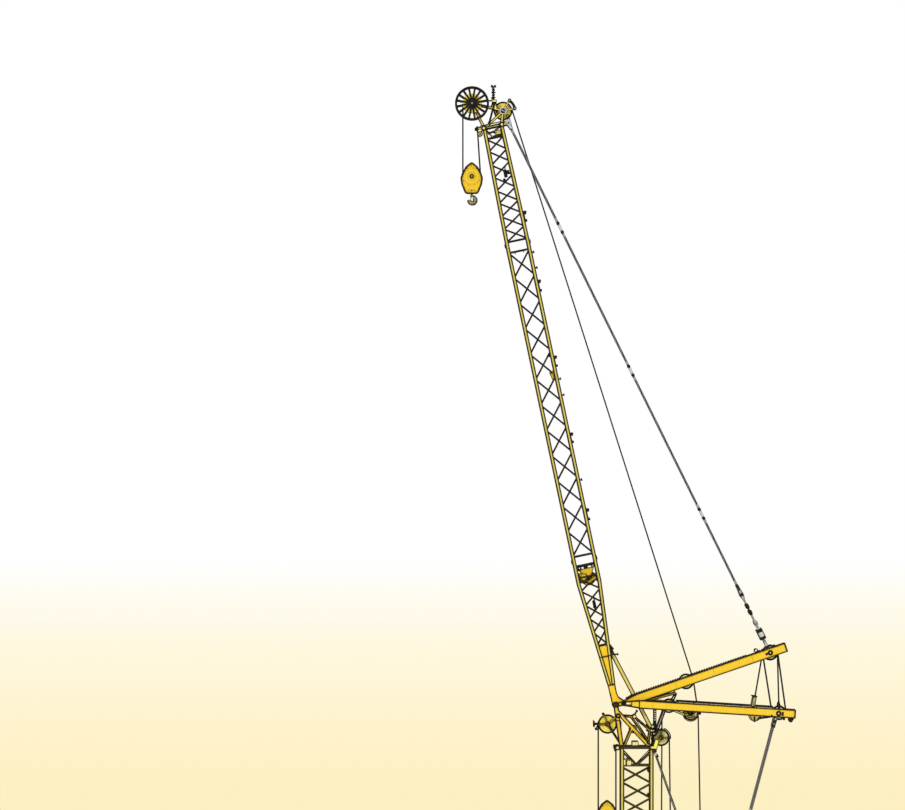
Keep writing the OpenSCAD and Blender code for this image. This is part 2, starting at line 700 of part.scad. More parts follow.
foot_low = 2266;
foot_high = foot_u - 614;
module jib_foot_side(side) {
    y = side * leg_y;
    in_jib() color([0.93, 0.78, 0.2]) {
        jib_side(y, [collar_u - 60, taper_u, foot_u - seat], foot_low, foot_high, foot_bays, side > 0 ? 0 : 1);
        joint_blocks(y, foot_u - seat, 1);
        difference() {
            plate(y, leg_t) difference() {
                union() {
                    circle(118, $fn = 64);
                    translate([-foot_half, 0]) square([2 * foot_half, collar_u]);
                    translate([-foot_half - 10, collar_u - 30]) square([2 * foot_half + 20, 34]);
                    knee = [mast_pin_back * cos(jib_lean) + mast_pin_up * sin(jib_lean),
                        mast_pin_up * cos(jib_lean) - mast_pin_back * sin(jib_lean)];
                    polygon([[0, -60], [60, 380], [foot_half, 420], [foot_half + 45, 250], knee + [40, 74],
                        knee + [-40, -74]]);
                    translate(knee) circle(84, $fn = 64);
                }
                circle(pivot_pin_r + run, $fn = 64);
            }
        }
        plate(y, 30) polygon([[-collar_half, collar_u], [collar_half, collar_u], [rear_at(plate_top_u, 0)[0],
            plate_top_u], [front_at(plate_top_u, 0)[0], plate_top_u]]);
    }
    color([0.3, 0.3, 0.2]) shaft(mast_pin, mast_pin_r, min(side * (upper_y - girder_w / 2), side * (leg_y)),
        max(side * (upper_y - girder_w / 2), side * leg_y));
}
module jib_foot_left() { jib_foot_side(-1); }
module jib_foot_right() { jib_foot_side(1); }

// Diagonals across the jib's front or rear, cut clear of the chords
module jib_face(at_front, stops, low, high, bays, hand) {
    difference() {
        union() {
            zigzag(at_front ? front_at(low, -leg_y) : rear_at(low, -leg_y),
                at_front ? front_at(high, -leg_y) : rear_at(high, -leg_y),
                at_front ? front_at(low, leg_y) : rear_at(low, leg_y),
                at_front ? front_at(high, leg_y) : rear_at(high, leg_y), bays, jib_brace_d, hand);
            for (u = [low, high]) bar(at_front ? front_at(u, -leg_y) : rear_at(u, -leg_y),
                at_front ? front_at(u, leg_y) : rear_at(u, leg_y), jib_brace_d);
        }
        for (y = [-leg_y, leg_y]) chord(at_front, y, stops, jib_chord_d + 2 * seat);
    }
}
foot_sheave_r = 280;
foot_sheave_u = foot_u - 675;
foot_bar_u = foot_sheave_u + 480;
foot_sheave_at = [-jib_offset, 0, foot_sheave_u];
module jib_foot_bracing() {
    stops = [collar_u - 60, taper_u, foot_u];
    stop_v = rear_at(stop_u, 0)[0];
    color([0.3, 0.3, 0.1]) in_jib() {
        for (at_front = [true, false])
            jib_face(at_front, stops, foot_low, taper_u, foot_bays - 1, at_front ? 0 : 1);
        difference() {
            union() {
                shaft([stop_v, 0, stop_u], 45, 20 - leg_y, leg_y - 20, 24);
                for (v = [front_at(foot_bar_u, 0)[0], rear_at(foot_bar_u, 0)[0]])
                    shaft([v, 0, foot_bar_u], 40, -leg_y, leg_y, 24);
            }
            for (at_front = [true, false], y = [-leg_y, leg_y]) chord(at_front, y, stops, jib_chord_d + 2 * seat);
        }
        for (side = [-1, 1], s = [-1, 1]) plate(side * stop_y + s * 40, 20) difference() {
            union() {
                strip([stop_v, stop_u], [stop_back, stop_u], 90);
                translate([stop_back, stop_u]) circle(45, $fn = 32);
            }
            translate([stop_back, stop_u]) circle(link_pin_r + seat, $fn = 32);
        }
        shaft(foot_sheave_at, axle_r, -110, 110);
        for (side = [-1, 1]) plate(side * 95, 30) {
            strip([front_at(foot_bar_u, 0)[0], foot_bar_u], [rear_at(foot_bar_u, 0)[0], foot_bar_u], 110);
            strip(flat(foot_sheave_at), flat(foot_sheave_at) + [0, 480], 160);
        }
    }
}

middle_margin = 182;
middle_low = foot_u + middle_margin;
middle_high = middle_low + middle_bays * (middle_len - 2 * middle_margin - 90) / middle_bays;
middle_stops = [foot_u + seat, middle_u - seat];
module jib_middle_side(side) {
    y = side * leg_y;
    color([0.93, 0.78, 0.2]) in_jib() {
        jib_side(y, middle_stops, middle_low, middle_high, middle_bays, side > 0 ? 0 : 1);
        joint_blocks(y, foot_u + seat, -1);
        joint_blocks(y, middle_u - seat, 1);
    }
}
module jib_middle_left() { jib_middle_side(-1); }
module jib_middle_right() { jib_middle_side(1); }
module jib_middle_front() {
    color([0.3, 0.3, 0.1]) in_jib() jib_face(true, middle_stops, middle_low, middle_high, middle_bays, 0);
}
module jib_middle_rear() {
    color([0.3, 0.3, 0.1]) in_jib() jib_face(false, middle_stops, middle_low, middle_high, middle_bays, 1);
}

head_low = middle_u + 130;
head_high = head_u - 410;
hub_r = 62;
head_stops = [middle_u + 3, head_u - hub_r - seat];
module jib_head_side(side) {
    y = side * leg_y;
    color([0.93, 0.78, 0.2]) in_jib() {
        jib_side(y, head_stops, head_low, head_high, head_bays, side > 0 ? 0 : 1);
        joint_blocks(y, middle_u + seat, -1);
    }
}
module jib_head_left() { jib_head_side(-1); }
module jib_head_right() { jib_head_side(1); }
module jib_head_bracing() {
    color([0.3, 0.3, 0.1]) in_jib() {
        for (at_front = [true, false])
            jib_face(at_front, head_stops, head_low, head_high, head_bays, at_front ? 0 : 1);
    }
}

// Jib head: hubs on the chord ends, side plates, axles, arms
wheel_axle = [-613, 0, head_u + 1000];
deflection_axle = [457, 0, head_u + 490];
head_arm_y = 250;
head_pitch = 2.15 * rope_d;
deflection_pitch = 2.4 * rope_d;
fork_pin = [560, 0, head_u + 10];
pendant_y = upper_y;
module jib_head_frame() {
    front_hub = front_at(head_u, 0);
    rear_hub = rear_at(head_u, 0);
    color([0.9, 0.75, 0.2]) in_jib() {
        for (hub = [front_hub, rear_hub]) shaft(hub, hub_r, -leg_y - 60, leg_y + 60, 32);
        for (side = [-1, 1]) {
            plate(side * head_arm_y, 40) {
                strip(flat(front_hub), flat(wheel_axle), 84);
                strip(flat(wheel_axle), flat(deflection_axle), 76);
                strip(flat(rear_hub), flat(deflection_axle), 84);
                strip(flat(front_hub), flat(deflection_axle), 60);
                strip(flat(front_hub), flat(rear_hub), 60);
                for (p = [wheel_axle, deflection_axle]) translate(flat(p)) circle(80, $fn = 48);
                for (p = [front_hub, rear_hub]) translate(flat(p)) circle(90, $fn = 48);
                translate([70, head_u + 610]) square([190, 190]);
            }
            plate(side * pendant_y, 50) difference() {
                union() {
                    strip(flat(rear_hub), flat(fork_pin), 130);
                    translate(flat(fork_pin)) circle(70, $fn = 48);
                    translate(flat(rear_hub)) circle(90, $fn = 48);
                }
                translate(flat(fork_pin)) circle(link_pin_r + seat, $fn = 32);
            }
        }
        shaft(wheel_axle, axle_r, -500, 500);
        for (side = [-1, 1]) {
            sleeve(wheel_axle, 62, side, 1.5 * head_pitch + 4);
            sleeve(deflection_axle, 62, side, 1.2 * rope_d + 4);
        }
        shaft(deflection_axle, axle_r, -head_arm_y - 20, head_arm_y + 20);
        plate(0, 60) {
            translate(flat(front_hub) + [-248, 60]) circle(60, $fn = 32);
            strip(flat(front_hub) + [-248, 60], flat(front_hub), 90);
        }
    }
}

// Spacer on a head axle, from beside its sheaves to the side plate
module sleeve(at, r, side, from_y) {
    shaft(at, r, min(side * from_y, side * head_arm_y), max(side * from_y, side * head_arm_y));
}

module jib_light_mast() {
    foot = [165, 0, head_u + 800 + seat];
    color([0.12, 0.12, 0.1]) in_jib() {
        translate(foot + [-60, -head_arm_y - 20, 0]) cube([170, 2 * head_arm_y + 40, 70]);
        translate(foot + [0, 0, 70]) rotate([0, jib_lean, 0]) {
            cylinder(h = 580, r = 34, $fn = 12);
            for (k = [1:4]) translate([0, 0, k * 115 + 20]) cylinder(h = 46, r = 52, $fn = 12);
            translate([-80, -40, 560]) cube([160, 80, 60]);
        }
    }
}

module running_wheels() {
    tyre_w = 130;
    wheel_y = head_arm_y + 40 + tyre_w / 2 + 50;
    spokes = 16;
    color([0.1, 0.1, 0.1]) translate(jib_pt(wheel_axle[0], wheel_axle[2])) for (side = [-1, 1]) {
        plate(side * wheel_y, tyre_w) difference() {
            circle(wheel_r, $fn = 96);
            circle(wheel_r - 52, $fn = 96);
        }
        plate(side * wheel_y, 44) difference() {
            union() {
                difference() { circle(wheel_r - 40, $fn = 96); circle(wheel_r - 80, $fn = 96); }
                circle(190, $fn = 64);
                for (k = [0:spokes - 1]) rotate((k + 0.5) * 360 / spokes) for (s = [-1, 1])
                    translate([120, s * 26 - 10]) square([wheel_r - 180, 20]);
            }
            circle(axle_r + run, $fn = 48);
        }
        plate(side * wheel_y, 170) difference() {
            circle(120, $fn = 64);
            circle(axle_r + run, $fn = 48);
        }
    }
}
module head_sheaves() {
    color([0.95, 0.78, 0.15]) translate(jib_pt(wheel_axle[0], wheel_axle[2]))
        sheave_pack(head_sheave_r, 3, head_pitch, axle_r + run, 90);
}
module deflection_sheave() {
    color([0.98, 0.8, 0.15]) translate(jib_pt(deflection_axle[0], deflection_axle[2]))
        sheave_pack(deflection_r, 1, deflection_pitch, axle_r + run, 110);
}

// Rope sheaves low in the jib
module jib_foot_sheave() {
    color([0.95, 0.78, 0.15]) translate(jib_pt(foot_sheave_at[0], foot_sheave_at[2]))
        sheave_pack(foot_sheave_r, 2, 2.3 * rope_d, axle_r + run, 90);
}

module jib_backstops() {
    color([0.9, 0.76, 0.2]) for (side = [-1, 1]) {
        y = [0, side * stop_y, 0];
        bar(stop_top + stop_dir * 90 + y, stop_end + y, stop_d, 24);
        plate(side * stop_y, 56) {
            strip(flat(stop_top), flat(stop_top + stop_dir * 120), 80);
            translate(flat(stop_top)) circle(48, $fn = 32);
        }
        shaft(stop_top, link_pin_r, side * stop_y - 56, side * stop_y + 56);
    }
}

// Upper mast ----------------------------------------------------------------------

lug_a = tip_at - 35;
lug_h = upper_depth / 2 + 80;
module upper_girder(side) {
    color([0.98, 0.8, 0.15]) in_upper_mast() {
        mast_girder(side * upper_y, upper_depth, 560);
        plate(side * upper_y, 50) difference() {
            union() {
                strip([lug_a, upper_depth / 2 - 20], [lug_a, lug_h], 120);
                translate([lug_a, lug_h]) circle(60, $fn = 48);
            }
            translate([lug_a, lug_h]) circle(link_pin_r + seat, $fn = 32);
        }
    }
}
module upper_mast_left() { upper_girder(-1); }
module upper_mast_right() { upper_girder(1); }
module upper_mast_crossbars() {
    half = upper_y - girder_w / 2 - seat;
    color([0.85, 0.7, 0.2]) {
        in_upper_mast() for (a = [950, 1800, 3300, 4300, mast_len - 1120, mast_len - 110])
            shaft([a, 0, 0], 55, -half, half, 24);
        shaft(upper_guide_c, axle_r, -half, half);
        shaft(upper_tip_c, axle_r, -half, half);
    }
}
module upper_guide_sheave() {
    color([0.98, 0.8, 0.15]) translate(upper_guide_c) sheave_pack(mast_sheave_r, 1, guide_pitch, axle_r + run, 90);
}
module upper_tip_sheaves() {
    color([0.98, 0.8, 0.15]) translate(upper_tip_c) sheave_pack(mast_sheave_r, tip_count + 2, tip_pitch,
        axle_r + run, 80);
}

// Ropes and pendants --------------------------------------------------------------

// Jib pendants: rope lengths joined by pairs of link plates, from the jib head to the mast tip
module jib_pendants() {
    top = jib_pt(fork_pin[0], fork_pin[2]);
    foot = upper_pt(lug_a, lug_h);
    joints = [0, 0.2, 0.473, 0.746, 0.892, 1];
    color([0.6, 0.6, 0.6]) for (side = [-1, 1]) {
        y = side * pendant_y;
        dir = (foot - top) / norm(foot - top);
        for (k = [0:4]) {
            a = mix(top, foot, joints[k]) + dir * (k == 0 ? 230 : 180);
            b = mix(top, foot, joints[k + 1]) - dir * 180;
            pendant_rope(a, b, pendant_d, y);
        }
        for (k = [0:5]) {
            p = mix(top, foot, joints[k]);
            up = k == 0 ? [0, 0, 0] : -dir * 180;
            down = k == 5 ? [0, 0, 0] : dir * (k == 0 ? 230 : 180);
            for (s = [-1, 1]) plate(y + s * 38, 22) {
                strip(flat(p + up), flat(p + down), 90);
                for (q = [up, down]) translate(flat(p + q)) circle(56, $fn = 32);
            }
            for (q = [up, down]) shaft(p + q, link_pin_r, y - 60, y + 60);
        }
    }
}

deflection_c = jib_pt(deflection_axle[0], deflection_axle[2]);
module jib_hoist_rope() {
    ends = rope_run(deflection_c, pitch_r(deflection_r, deflection_pitch), upper_guide_c,
        pitch_r(mast_sheave_r, guide_pitch), 1);
    color([0.12, 0.12, 0.12]) bar(ends[0], ends[1], rope_d, 24);
}
module hoist_rope_link() {
    ends = rope_run(upper_guide_c, pitch_r(mast_sheave_r, guide_pitch), lower_guide_c,
        pitch_r(mast_sheave_r, guide_pitch), 1);
    color([0.12, 0.12, 0.12]) bar(ends[0], ends[1], rope_d, 24);
}
module luffing_ropes() {
    color([0.12, 0.12, 0.12]) for (i = [0:tip_count - 1], side = [-1, 1]) {
        y = (i - (tip_count - 1) / 2) * tip_pitch;
        ends = rope_run(upper_tip_c, pitch_r(mast_sheave_r, tip_pitch), lower_tip_c,
            pitch_r(mast_sheave_r - 20, tip_pitch), side, y);
        bar(ends[0], ends[1], rope_d, 24);
    }
    for (fixed = [[lower_pt(post_at, post_h), -1, 30], [lower_pt(anchor_at, anchor_h), 1, 1.6]]) {
        ends = rope_run(upper_tip_c, pitch_r(mast_sheave_r, tip_pitch), fixed[0], 0, fixed[1], fixed[1] * extra_y);
        up = (ends[0] - ends[1]) / norm(ends[0] - ends[1]);
        color([0.12, 0.12, 0.12]) bar(ends[0], ends[1] + up * (fixed[2] + seat), rope_d, 24);
    }
}

// Hook blocks ---------------------------------------------------------------------

shank_r = 34;
trunnion_z = 643;
trunnion_h = 90;
// Side plates, sheave and lower trunnion of a hook block about its sheave pin
module hook_block(at) {
    plate_y = 62;
    outline = [[0, 509], [-204, 353], [-342, 93], [-394, -74], [-364, -297], [-240, -600], [-190, -643],
        [190, -643], [240, -600], [364, -297], [394, -74], [342, 93], [204, 353]];
    color([0.98, 0.8, 0.15]) translate(at) {
        for (side = [-1, 1]) plate(side * plate_y, 30) polygon(outline);
        shaft([0, 0, 0], 60, -plate_y - 40, plate_y + 40);
        for (p = [[-180, 300], [180, 300], [-300, -160], [300, -160]]) translate([p[0], 0, p[1]])
            rotate([90, 0, 0]) cylinder(h = 2 * plate_y, r = 16, center = true, $fn = 24);
        difference() {
            translate([-120, -plate_y, -trunnion_z]) cube([240, 2 * plate_y, trunnion_h]);
            translate([0, 0, -trunnion_z - 1]) cylinder(h = trunnion_h + 2, r = shank_r + run, $fn = 32);
        }
        sheave_pack(block_sheave_r, 1, block_pitch, 60 + run, 110);
    }
}

// Point hook: a shank held by its nut in the trunnion, and a thick round bowl open towards the front
module lifting_hook(at) {
    eye = [26, 0, -899];
    bowl = 106;
    rod = 56;
    tip_angle = 190;
    color([0.85, 0.65, 0.12]) translate(at) {
        translate([0, 0, -790]) cylinder(h = 790 - trunnion_z + trunnion_h + 55, r = shank_r, $fn = 32);
        translate([0, 0, -trunnion_z + trunnion_h + seat]) cylinder(h = 40, r = 44, $fn = 6);
        translate([0, 0, -770]) cylinder(h = 770 - trunnion_z - free, r1 = 62, r2 = 44, $fn = 32);
        translate(eye) rotate([90, 0, 0]) rotate([0, 0, tip_angle]) {
            rotate_extrude(angle = 440 - tip_angle, $fn = 64) translate([bowl, 0]) circle(rod, $fn = 24);
            translate([bowl, 0, 0]) rotate([90, 0, 0]) cylinder(h = 45, r1 = rod, r2 = 28, $fn = 24);
        }
    }
}

jib_axle_c = jib_pt(wheel_axle[0], wheel_axle[2]);
jib_fall_x = jib_axle_c[0] - pitch_r(head_sheave_r, head_pitch);
jib_block_at = [jib_fall_x + fall_r, 0, jib_axle_c[2] - jib_hook_drop];
boom_block_at = [boom_fall_x + fall_r, 0, front_axle[2] - boom_hook_drop];
module jib_falls() {
    color([0.12, 0.12, 0.12]) bar([jib_fall_x, 0, jib_axle_c[2]], [jib_fall_x, 0, jib_block_at[2]], rope_d, 24);
}
module jib_dead_end_fall() {
    anchor = jib_pt(front_at(head_u, 0)[0] - 248, head_u + 60);
    ends = rope_run(anchor, 0, jib_block_at, fall_r, 1);
    color([0.12, 0.12, 0.12]) bar(anchor - [0, 0, 60.3], ends[1], rope_d, 24);
}
module jib_hook_block() { hook_block(jib_block_at); }
module jib_hook() { lifting_hook(jib_block_at); }
module boom_falls() {
    color([0.12, 0.12, 0.12]) {
        x = boom_fall_x;
        bar([x, 0, front_axle[2]], [x, 0, boom_block_at[2]], rope_d, 24);
        bar([x + 2 * fall_r, 0, head_z - 100.3], [x + 2 * fall_r, 0, boom_block_at[2]], rope_d, 24);
    }
}
module boom_hook_block() { hook_block(boom_block_at); }
module boom_hook() { lifting_hook(boom_block_at); }

boom_end_frame();
boom_left_side();
boom_right_side();
boom_front_bracing();
boom_rear_bracing();
boom_head_beams();
boom_head_left_frame();
boom_head_right_frame();
boom_head_crossbars();
front_sheave_arms();
rear_sheave_bracket();
head_winch();
mast_rest_post();
boom_pendants();
front_sheaves();
rear_sheaves();
lower_mast_left();
lower_mast_right();
lower_mast_crossbars();
lower_mast_fittings();
lower_guide_sheave();
lower_inner_sheave();
lower_tip_sheaves();
lower_mast_pendants();
running_ropes();
jib_foot_left();
jib_foot_right();
jib_foot_bracing();
jib_middle_left();
jib_middle_right();
jib_middle_front();
jib_middle_rear();
jib_head_left();
jib_head_right();
jib_head_bracing();
jib_head_frame();
jib_light_mast();
jib_foot_sheave();
jib_backstops();
running_wheels();
head_sheaves();
deflection_sheave();
upper_mast_left();
upper_mast_right();
upper_mast_crossbars();
upper_guide_sheave();
upper_tip_sheaves();
jib_pendants();
jib_hoist_rope();
hoist_rope_link();
luffing_ropes();
jib_falls();
jib_dead_end_fall();
jib_hook_block();
jib_hook();
boom_falls();
boom_hook_block();
boom_hook();
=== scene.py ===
# %% [markdown]
# A crawler crane's luffing-jib rig at half size. The measured solids come in as a fixed frame, and the
# lesson dresses them: paint, wire rope, and the small ironwork that a rigger would notice. Everything is in
# metres, with +X to the rear of the crane and +Z up.

# %% Load the measured solids
import json
import math
import bpy
from mathutils import Matrix, Vector

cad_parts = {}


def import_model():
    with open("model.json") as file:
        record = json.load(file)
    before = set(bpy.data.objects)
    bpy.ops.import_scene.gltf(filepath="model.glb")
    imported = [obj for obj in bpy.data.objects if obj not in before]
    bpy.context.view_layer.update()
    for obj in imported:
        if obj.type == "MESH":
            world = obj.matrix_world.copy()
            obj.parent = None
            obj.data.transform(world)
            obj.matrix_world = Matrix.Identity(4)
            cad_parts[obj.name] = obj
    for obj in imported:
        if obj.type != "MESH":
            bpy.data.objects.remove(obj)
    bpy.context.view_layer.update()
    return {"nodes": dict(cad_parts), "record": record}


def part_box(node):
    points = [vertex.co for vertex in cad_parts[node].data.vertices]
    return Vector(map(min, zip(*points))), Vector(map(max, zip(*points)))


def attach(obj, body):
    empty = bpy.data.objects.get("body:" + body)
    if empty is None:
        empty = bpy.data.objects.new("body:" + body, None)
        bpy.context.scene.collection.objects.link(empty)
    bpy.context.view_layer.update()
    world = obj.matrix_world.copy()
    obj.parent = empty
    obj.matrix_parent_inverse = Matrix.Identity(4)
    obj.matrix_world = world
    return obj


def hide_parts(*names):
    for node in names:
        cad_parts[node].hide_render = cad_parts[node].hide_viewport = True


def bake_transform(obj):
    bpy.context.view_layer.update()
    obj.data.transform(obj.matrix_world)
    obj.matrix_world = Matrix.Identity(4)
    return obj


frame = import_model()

joints = {j["name"]: j for j in frame["record"]["behaviour"]["joints"]}

# %% [markdown]
# Each long part of the rig has its own straight frame: the jib stands on its pivot and leans ahead, and both
# masts turn on one pin behind it. A piece is modelled in the straight frame of the part that carries it and
# placed last, so its numbers stay simple.

# %% The straight frames of jib and masts
JIB_LEAN, UPPER_SLOPE, LOWER_SLOPE = 11.9, 19.0, 3.6
pivot = Vector(joints["jib_luff"]["pos_m"])
mast_pin = pivot + Vector((0.297, 0, 0.063))

def straight(origin, degrees):
    return Matrix.Translation(origin) @ Matrix.Rotation(math.radians(degrees), 4, "Y")

JIB = straight(pivot, -JIB_LEAN)        # x to the jib's rear, z along the jib
UPPER = straight(mast_pin, -UPPER_SLOPE)  # x along the upper mast
LOWER = straight(mast_pin, LOWER_SLOPE)   # x along the lower mast
RIG = Matrix.Identity(4)

# How far the near and far sides stand from the middle, across the crane
JIB_SIDE, BOOM_SIDE, UPPER_SIDE, LOWER_SIDE = 0.48, 0.59, 0.36, 0.60
REAR_PENDANT = 0.6752
print("pivot", [round(c, 3) for c in pivot], "mast pin", [round(c, 3) for c in mast_pin])

# %% [markdown]
# The eye for this picture is a long lens far away and level with the middle of the rig, so the side of the
# crane shows without perspective, as on a side elevation.

# %% Camera
MIDDLE = Vector((-6.836, 0, 17.089))
FIELD = 33.62
lens = bpy.data.cameras.new("side_lens")
SENSOR = 36
lens.sensor_width, lens.lens = SENSOR, 400
lens.clip_start, lens.clip_end = 1, 2000
side_camera = bpy.data.objects.new("side_camera", lens)
bpy.context.collection.objects.link(side_camera)
side_camera.location = (MIDDLE.x, -FIELD * lens.lens / SENSOR, MIDDLE.z)
side_camera.rotation_euler = (math.pi / 2, 0, 0)
bpy.context.scene.camera = side_camera
bpy.context.scene.view_settings.view_transform = "Standard"

# %% [markdown]
# Soft daylight: an even sky does half of the lighting and a wide sun does the rest, so that a colour comes out
# about as it is written. Only what the camera sees of the sky is painted: white, and warmer low down.

# %% Sky and sun
def sun(name, energy, width, direction):
    lamp = bpy.data.lights.new(name, "SUN")
    lamp.energy, lamp.angle = energy, math.radians(width)
    obj = bpy.data.objects.new(name, lamp)
    bpy.context.collection.objects.link(obj)
    obj.rotation_euler = Vector(direction).to_track_quat("-Z", "Y").to_euler()

sun("key_sun", 1.35, 14, (0.45, 0.9, -0.62))
sun("rim_sun", 0.45, 24, (-0.5, -0.8, -0.5))

class Graph:
    """A node tree that is written as Python: tree("Noise Texture", ...) adds one node."""
    def __init__(self, tree):
        self.tree = tree
        tree.nodes.clear()

    def __call__(self, kind, out=0, settings=None, **sockets):
        node = self.tree.nodes.new("ShaderNode" + kind)
        for key, value in (settings or {}).items():
            if key == "stops":
                ramp = node.color_ramp.elements
                while len(ramp) < len(value):
                    ramp.new(0.5)
                for stop, (at, colour) in zip(ramp, value):
                    stop.position, stop.color = at, colour
            else:
                setattr(node, key, value)
        for key, value in sockets.items():
            numbered = key[0] == "i" and key[1:].isdigit()
            self.feed(node.inputs[int(key[1:]) if numbered else key.replace("_", " ")], value)
        return Value(self, node.outputs[out]) if len(node.outputs) else None

    def feed(self, socket, value):
        if isinstance(value, Value):
            self.tree.links.new(value.socket, socket)
        else:
            socket.default_value = value


class Value:
    """One output socket. Plain arithmetic on it adds Math nodes."""
    def __init__(self, graph, socket):
        self.graph, self.socket = graph, socket

    def maths(self, operation, a, b):
        return self.graph("Math", settings={"operation": operation}, i0=a, i1=b)

    def __add__(self, other): return self.maths("ADD", self, other)
    def __radd__(self, other): return self.maths("ADD", other, self)
    def __sub__(self, other): return self.maths("SUBTRACT", self, other)
    def __rsub__(self, other): return self.maths("SUBTRACT", other, self)
    def __mul__(self, other): return self.maths("MULTIPLY", self, other)
    def __rmul__(self, other): return self.maths("MULTIPLY", other, self)
    def __gt__(self, other): return self.maths("GREATER_THAN", self, other)
    def __lt__(self, other): return self.maths("LESS_THAN", self, other)
    def __abs__(self): return self.maths("ABSOLUTE", self, 0.0)

sky = bpy.data.worlds.new("sky")
bpy.context.scene.world = sky
sky.use_nodes = True
g = Graph(sky.node_tree)
height = g("SeparateXYZ", out=2, Vector=g("TexCoord", out=0))
BAND = 12.5           # how fast the painted sky runs through its colours with height
seen = g("ValToRGB", Fac=height * BAND + 0.5, settings={"stops": [
    (0.034, (0.98, 0.87, 0.54, 1)), (0.109, (1, 0.896, 0.617, 1)), (0.183, (0.99, 0.93, 0.708, 1)),
    (0.258, (1, 0.965, 0.863, 1)), (0.307, (1, 1, 1, 1))]})
eye = g("Background", Color=seen, Strength=1.0)
even = g("Background", Color=(1, 1, 1, 1), Strength=0.74)
shown = g("MixShader", i0=g("LightPath", out=0), i1=even, i2=eye)
g("OutputWorld", Surface=shown)

# %% [markdown]
# The floor is a wide pale plate with a faint grain. It only has to catch the shadow.

# %% Floor
def clear():
    bpy.ops.object.select_all(action="DESELECT")

clear()
bpy.ops.mesh.primitive_plane_add(size=84, location=(-4, 0, -0.002))
floor = bpy.context.object
floor.name = "floor"
stone = bpy.data.materials.new("floor_pale")
stone.use_nodes = True
g = Graph(stone.node_tree)
speck = g("TexNoise", Vector=g("TexCoord", out=3), Scale=3.0, Detail=6.0)
tone = g("ValToRGB", Fac=speck, settings={"stops": [(0.3, (0.78, 0.77, 0.74, 1)), (0.7, (0.84, 0.83, 0.8, 1))]})
g("OutputMaterial", Surface=g("BsdfPrincipled", Base_Color=tone, Roughness=0.9))
floor.data.materials.append(stone)

# %% [markdown]
# Crane paint is a thick gloss enamel. It is never one flat colour: sun bleaches it in broad patches, rain
# leaves faint streaks down it, and rope grease and dust dull it in places. The same recipe makes every paint
# on the rig, with its own colours and gloss.

# %% Paint
def finish(name, build):
    material = bpy.data.materials.new(name)
    material.use_nodes = True
    g = Graph(material.node_tree)
    build(g)
    return material

def blend_colour(g, share, a, b):
    node = g.tree.nodes.new("ShaderNodeMix")
    node.data_type = "RGBA"
    g.feed(node.inputs["Factor"], share)
    for socket, colour in ((node.inputs[6], a), (node.inputs[7], b)):
        g.feed(socket, colour)
    return Value(g, node.outputs[2])

def edge_dirt(g, width):
    """1 within about that width of a sharp edge, 0 on the open faces and on round tubes."""
    rounded = g("Bevel", Radius=width, settings={"samples": 4})
    agree = g("VectorMath", out=1, settings={"operation": "DOT_PRODUCT"}, i0=rounded, i1=g("NewGeometry", out=1))
    return g("MapRange", Value=agree, From_Min=0.998, From_Max=0.985)

def enamel(name, colour, bleached, grime, gloss=0.32, grain=1.0, seam=0.10, place=None, gleam=0.3):
    """Paint. place(g, here) may give the share of a dark second coat, as on a lattice's bracing, and the share
    of full crane yellow, as on the plated foot of a lattice side."""
    def build(g):
        here = g("TexCoord", out=3)
        broad = g("TexNoise", Vector=here, Scale=1.7 * grain, Detail=5.0, Roughness=0.6)
        hung = g("Mapping", Vector=here, Scale=(14.0, 14.0, 0.9))
        streaks = g("TexNoise", Vector=hung, Scale=1.0, Detail=4.0)
        dust = g("TexNoise", Vector=here, Scale=38.0 * grain, Detail=3.0)
        fade = g("MapRange", Value=broad, From_Min=0.38, From_Max=0.66)
        run = g("MapRange", Value=streaks, From_Min=0.52, From_Max=0.74) * 0.5
        spots = g("MapRange", Value=dust, From_Min=0.62, From_Max=0.72) * 0.35
        tint = blend_colour(g, fade * 0.55, (*colour, 1), (*bleached, 1))
        tint = blend_colour(g, run * 0.55 + spots * 0.4, tint, (*grime, 1))
        rough = gloss + 0.16 * fade + 0.3 * run
        if place:
            worn, full = place(g, here)
            tint = blend_colour(g, full, tint, (*CRANE_YELLOW, 1))
        else:
            worn = edge_dirt(g, seam) * 0.85
        tint = blend_colour(g, worn, tint, (*DARK, 1))
        peel = g("Bump", Height=dust * 0.4 + broad, Strength=0.12, Distance=0.004)
        g("OutputMaterial", Surface=g("BsdfPrincipled", Base_Color=tint, Roughness=rough, Normal=peel,
                                      Specular_IOR_Level=gleam))
    return finish(name, build)

DARK = (0.010, 0.008, 0.003)
CRANE_YELLOW = (0.89, 0.565, 0.018)

# The jib along its own length: two collars, the end of the plated foot, and where the foot and head taper
COLLAR, SEAM, PLATED, FOOT_END, HEAD_START, HEAD_END = 0.76, 1.843, 2.236, 4.65, 17.5, 21.95
BOOM_X = 0.545        # the boom's chords stand this far ahead of its middle and behind it

def chord_lines(off, radius, line, deep=0.985):
    """Dark beyond a chord's radius, where the bracing is, and a softer dark line down the chord's edges."""
    return off.maths("MAXIMUM", (off > radius) * deep, (off > line) * 0.85)

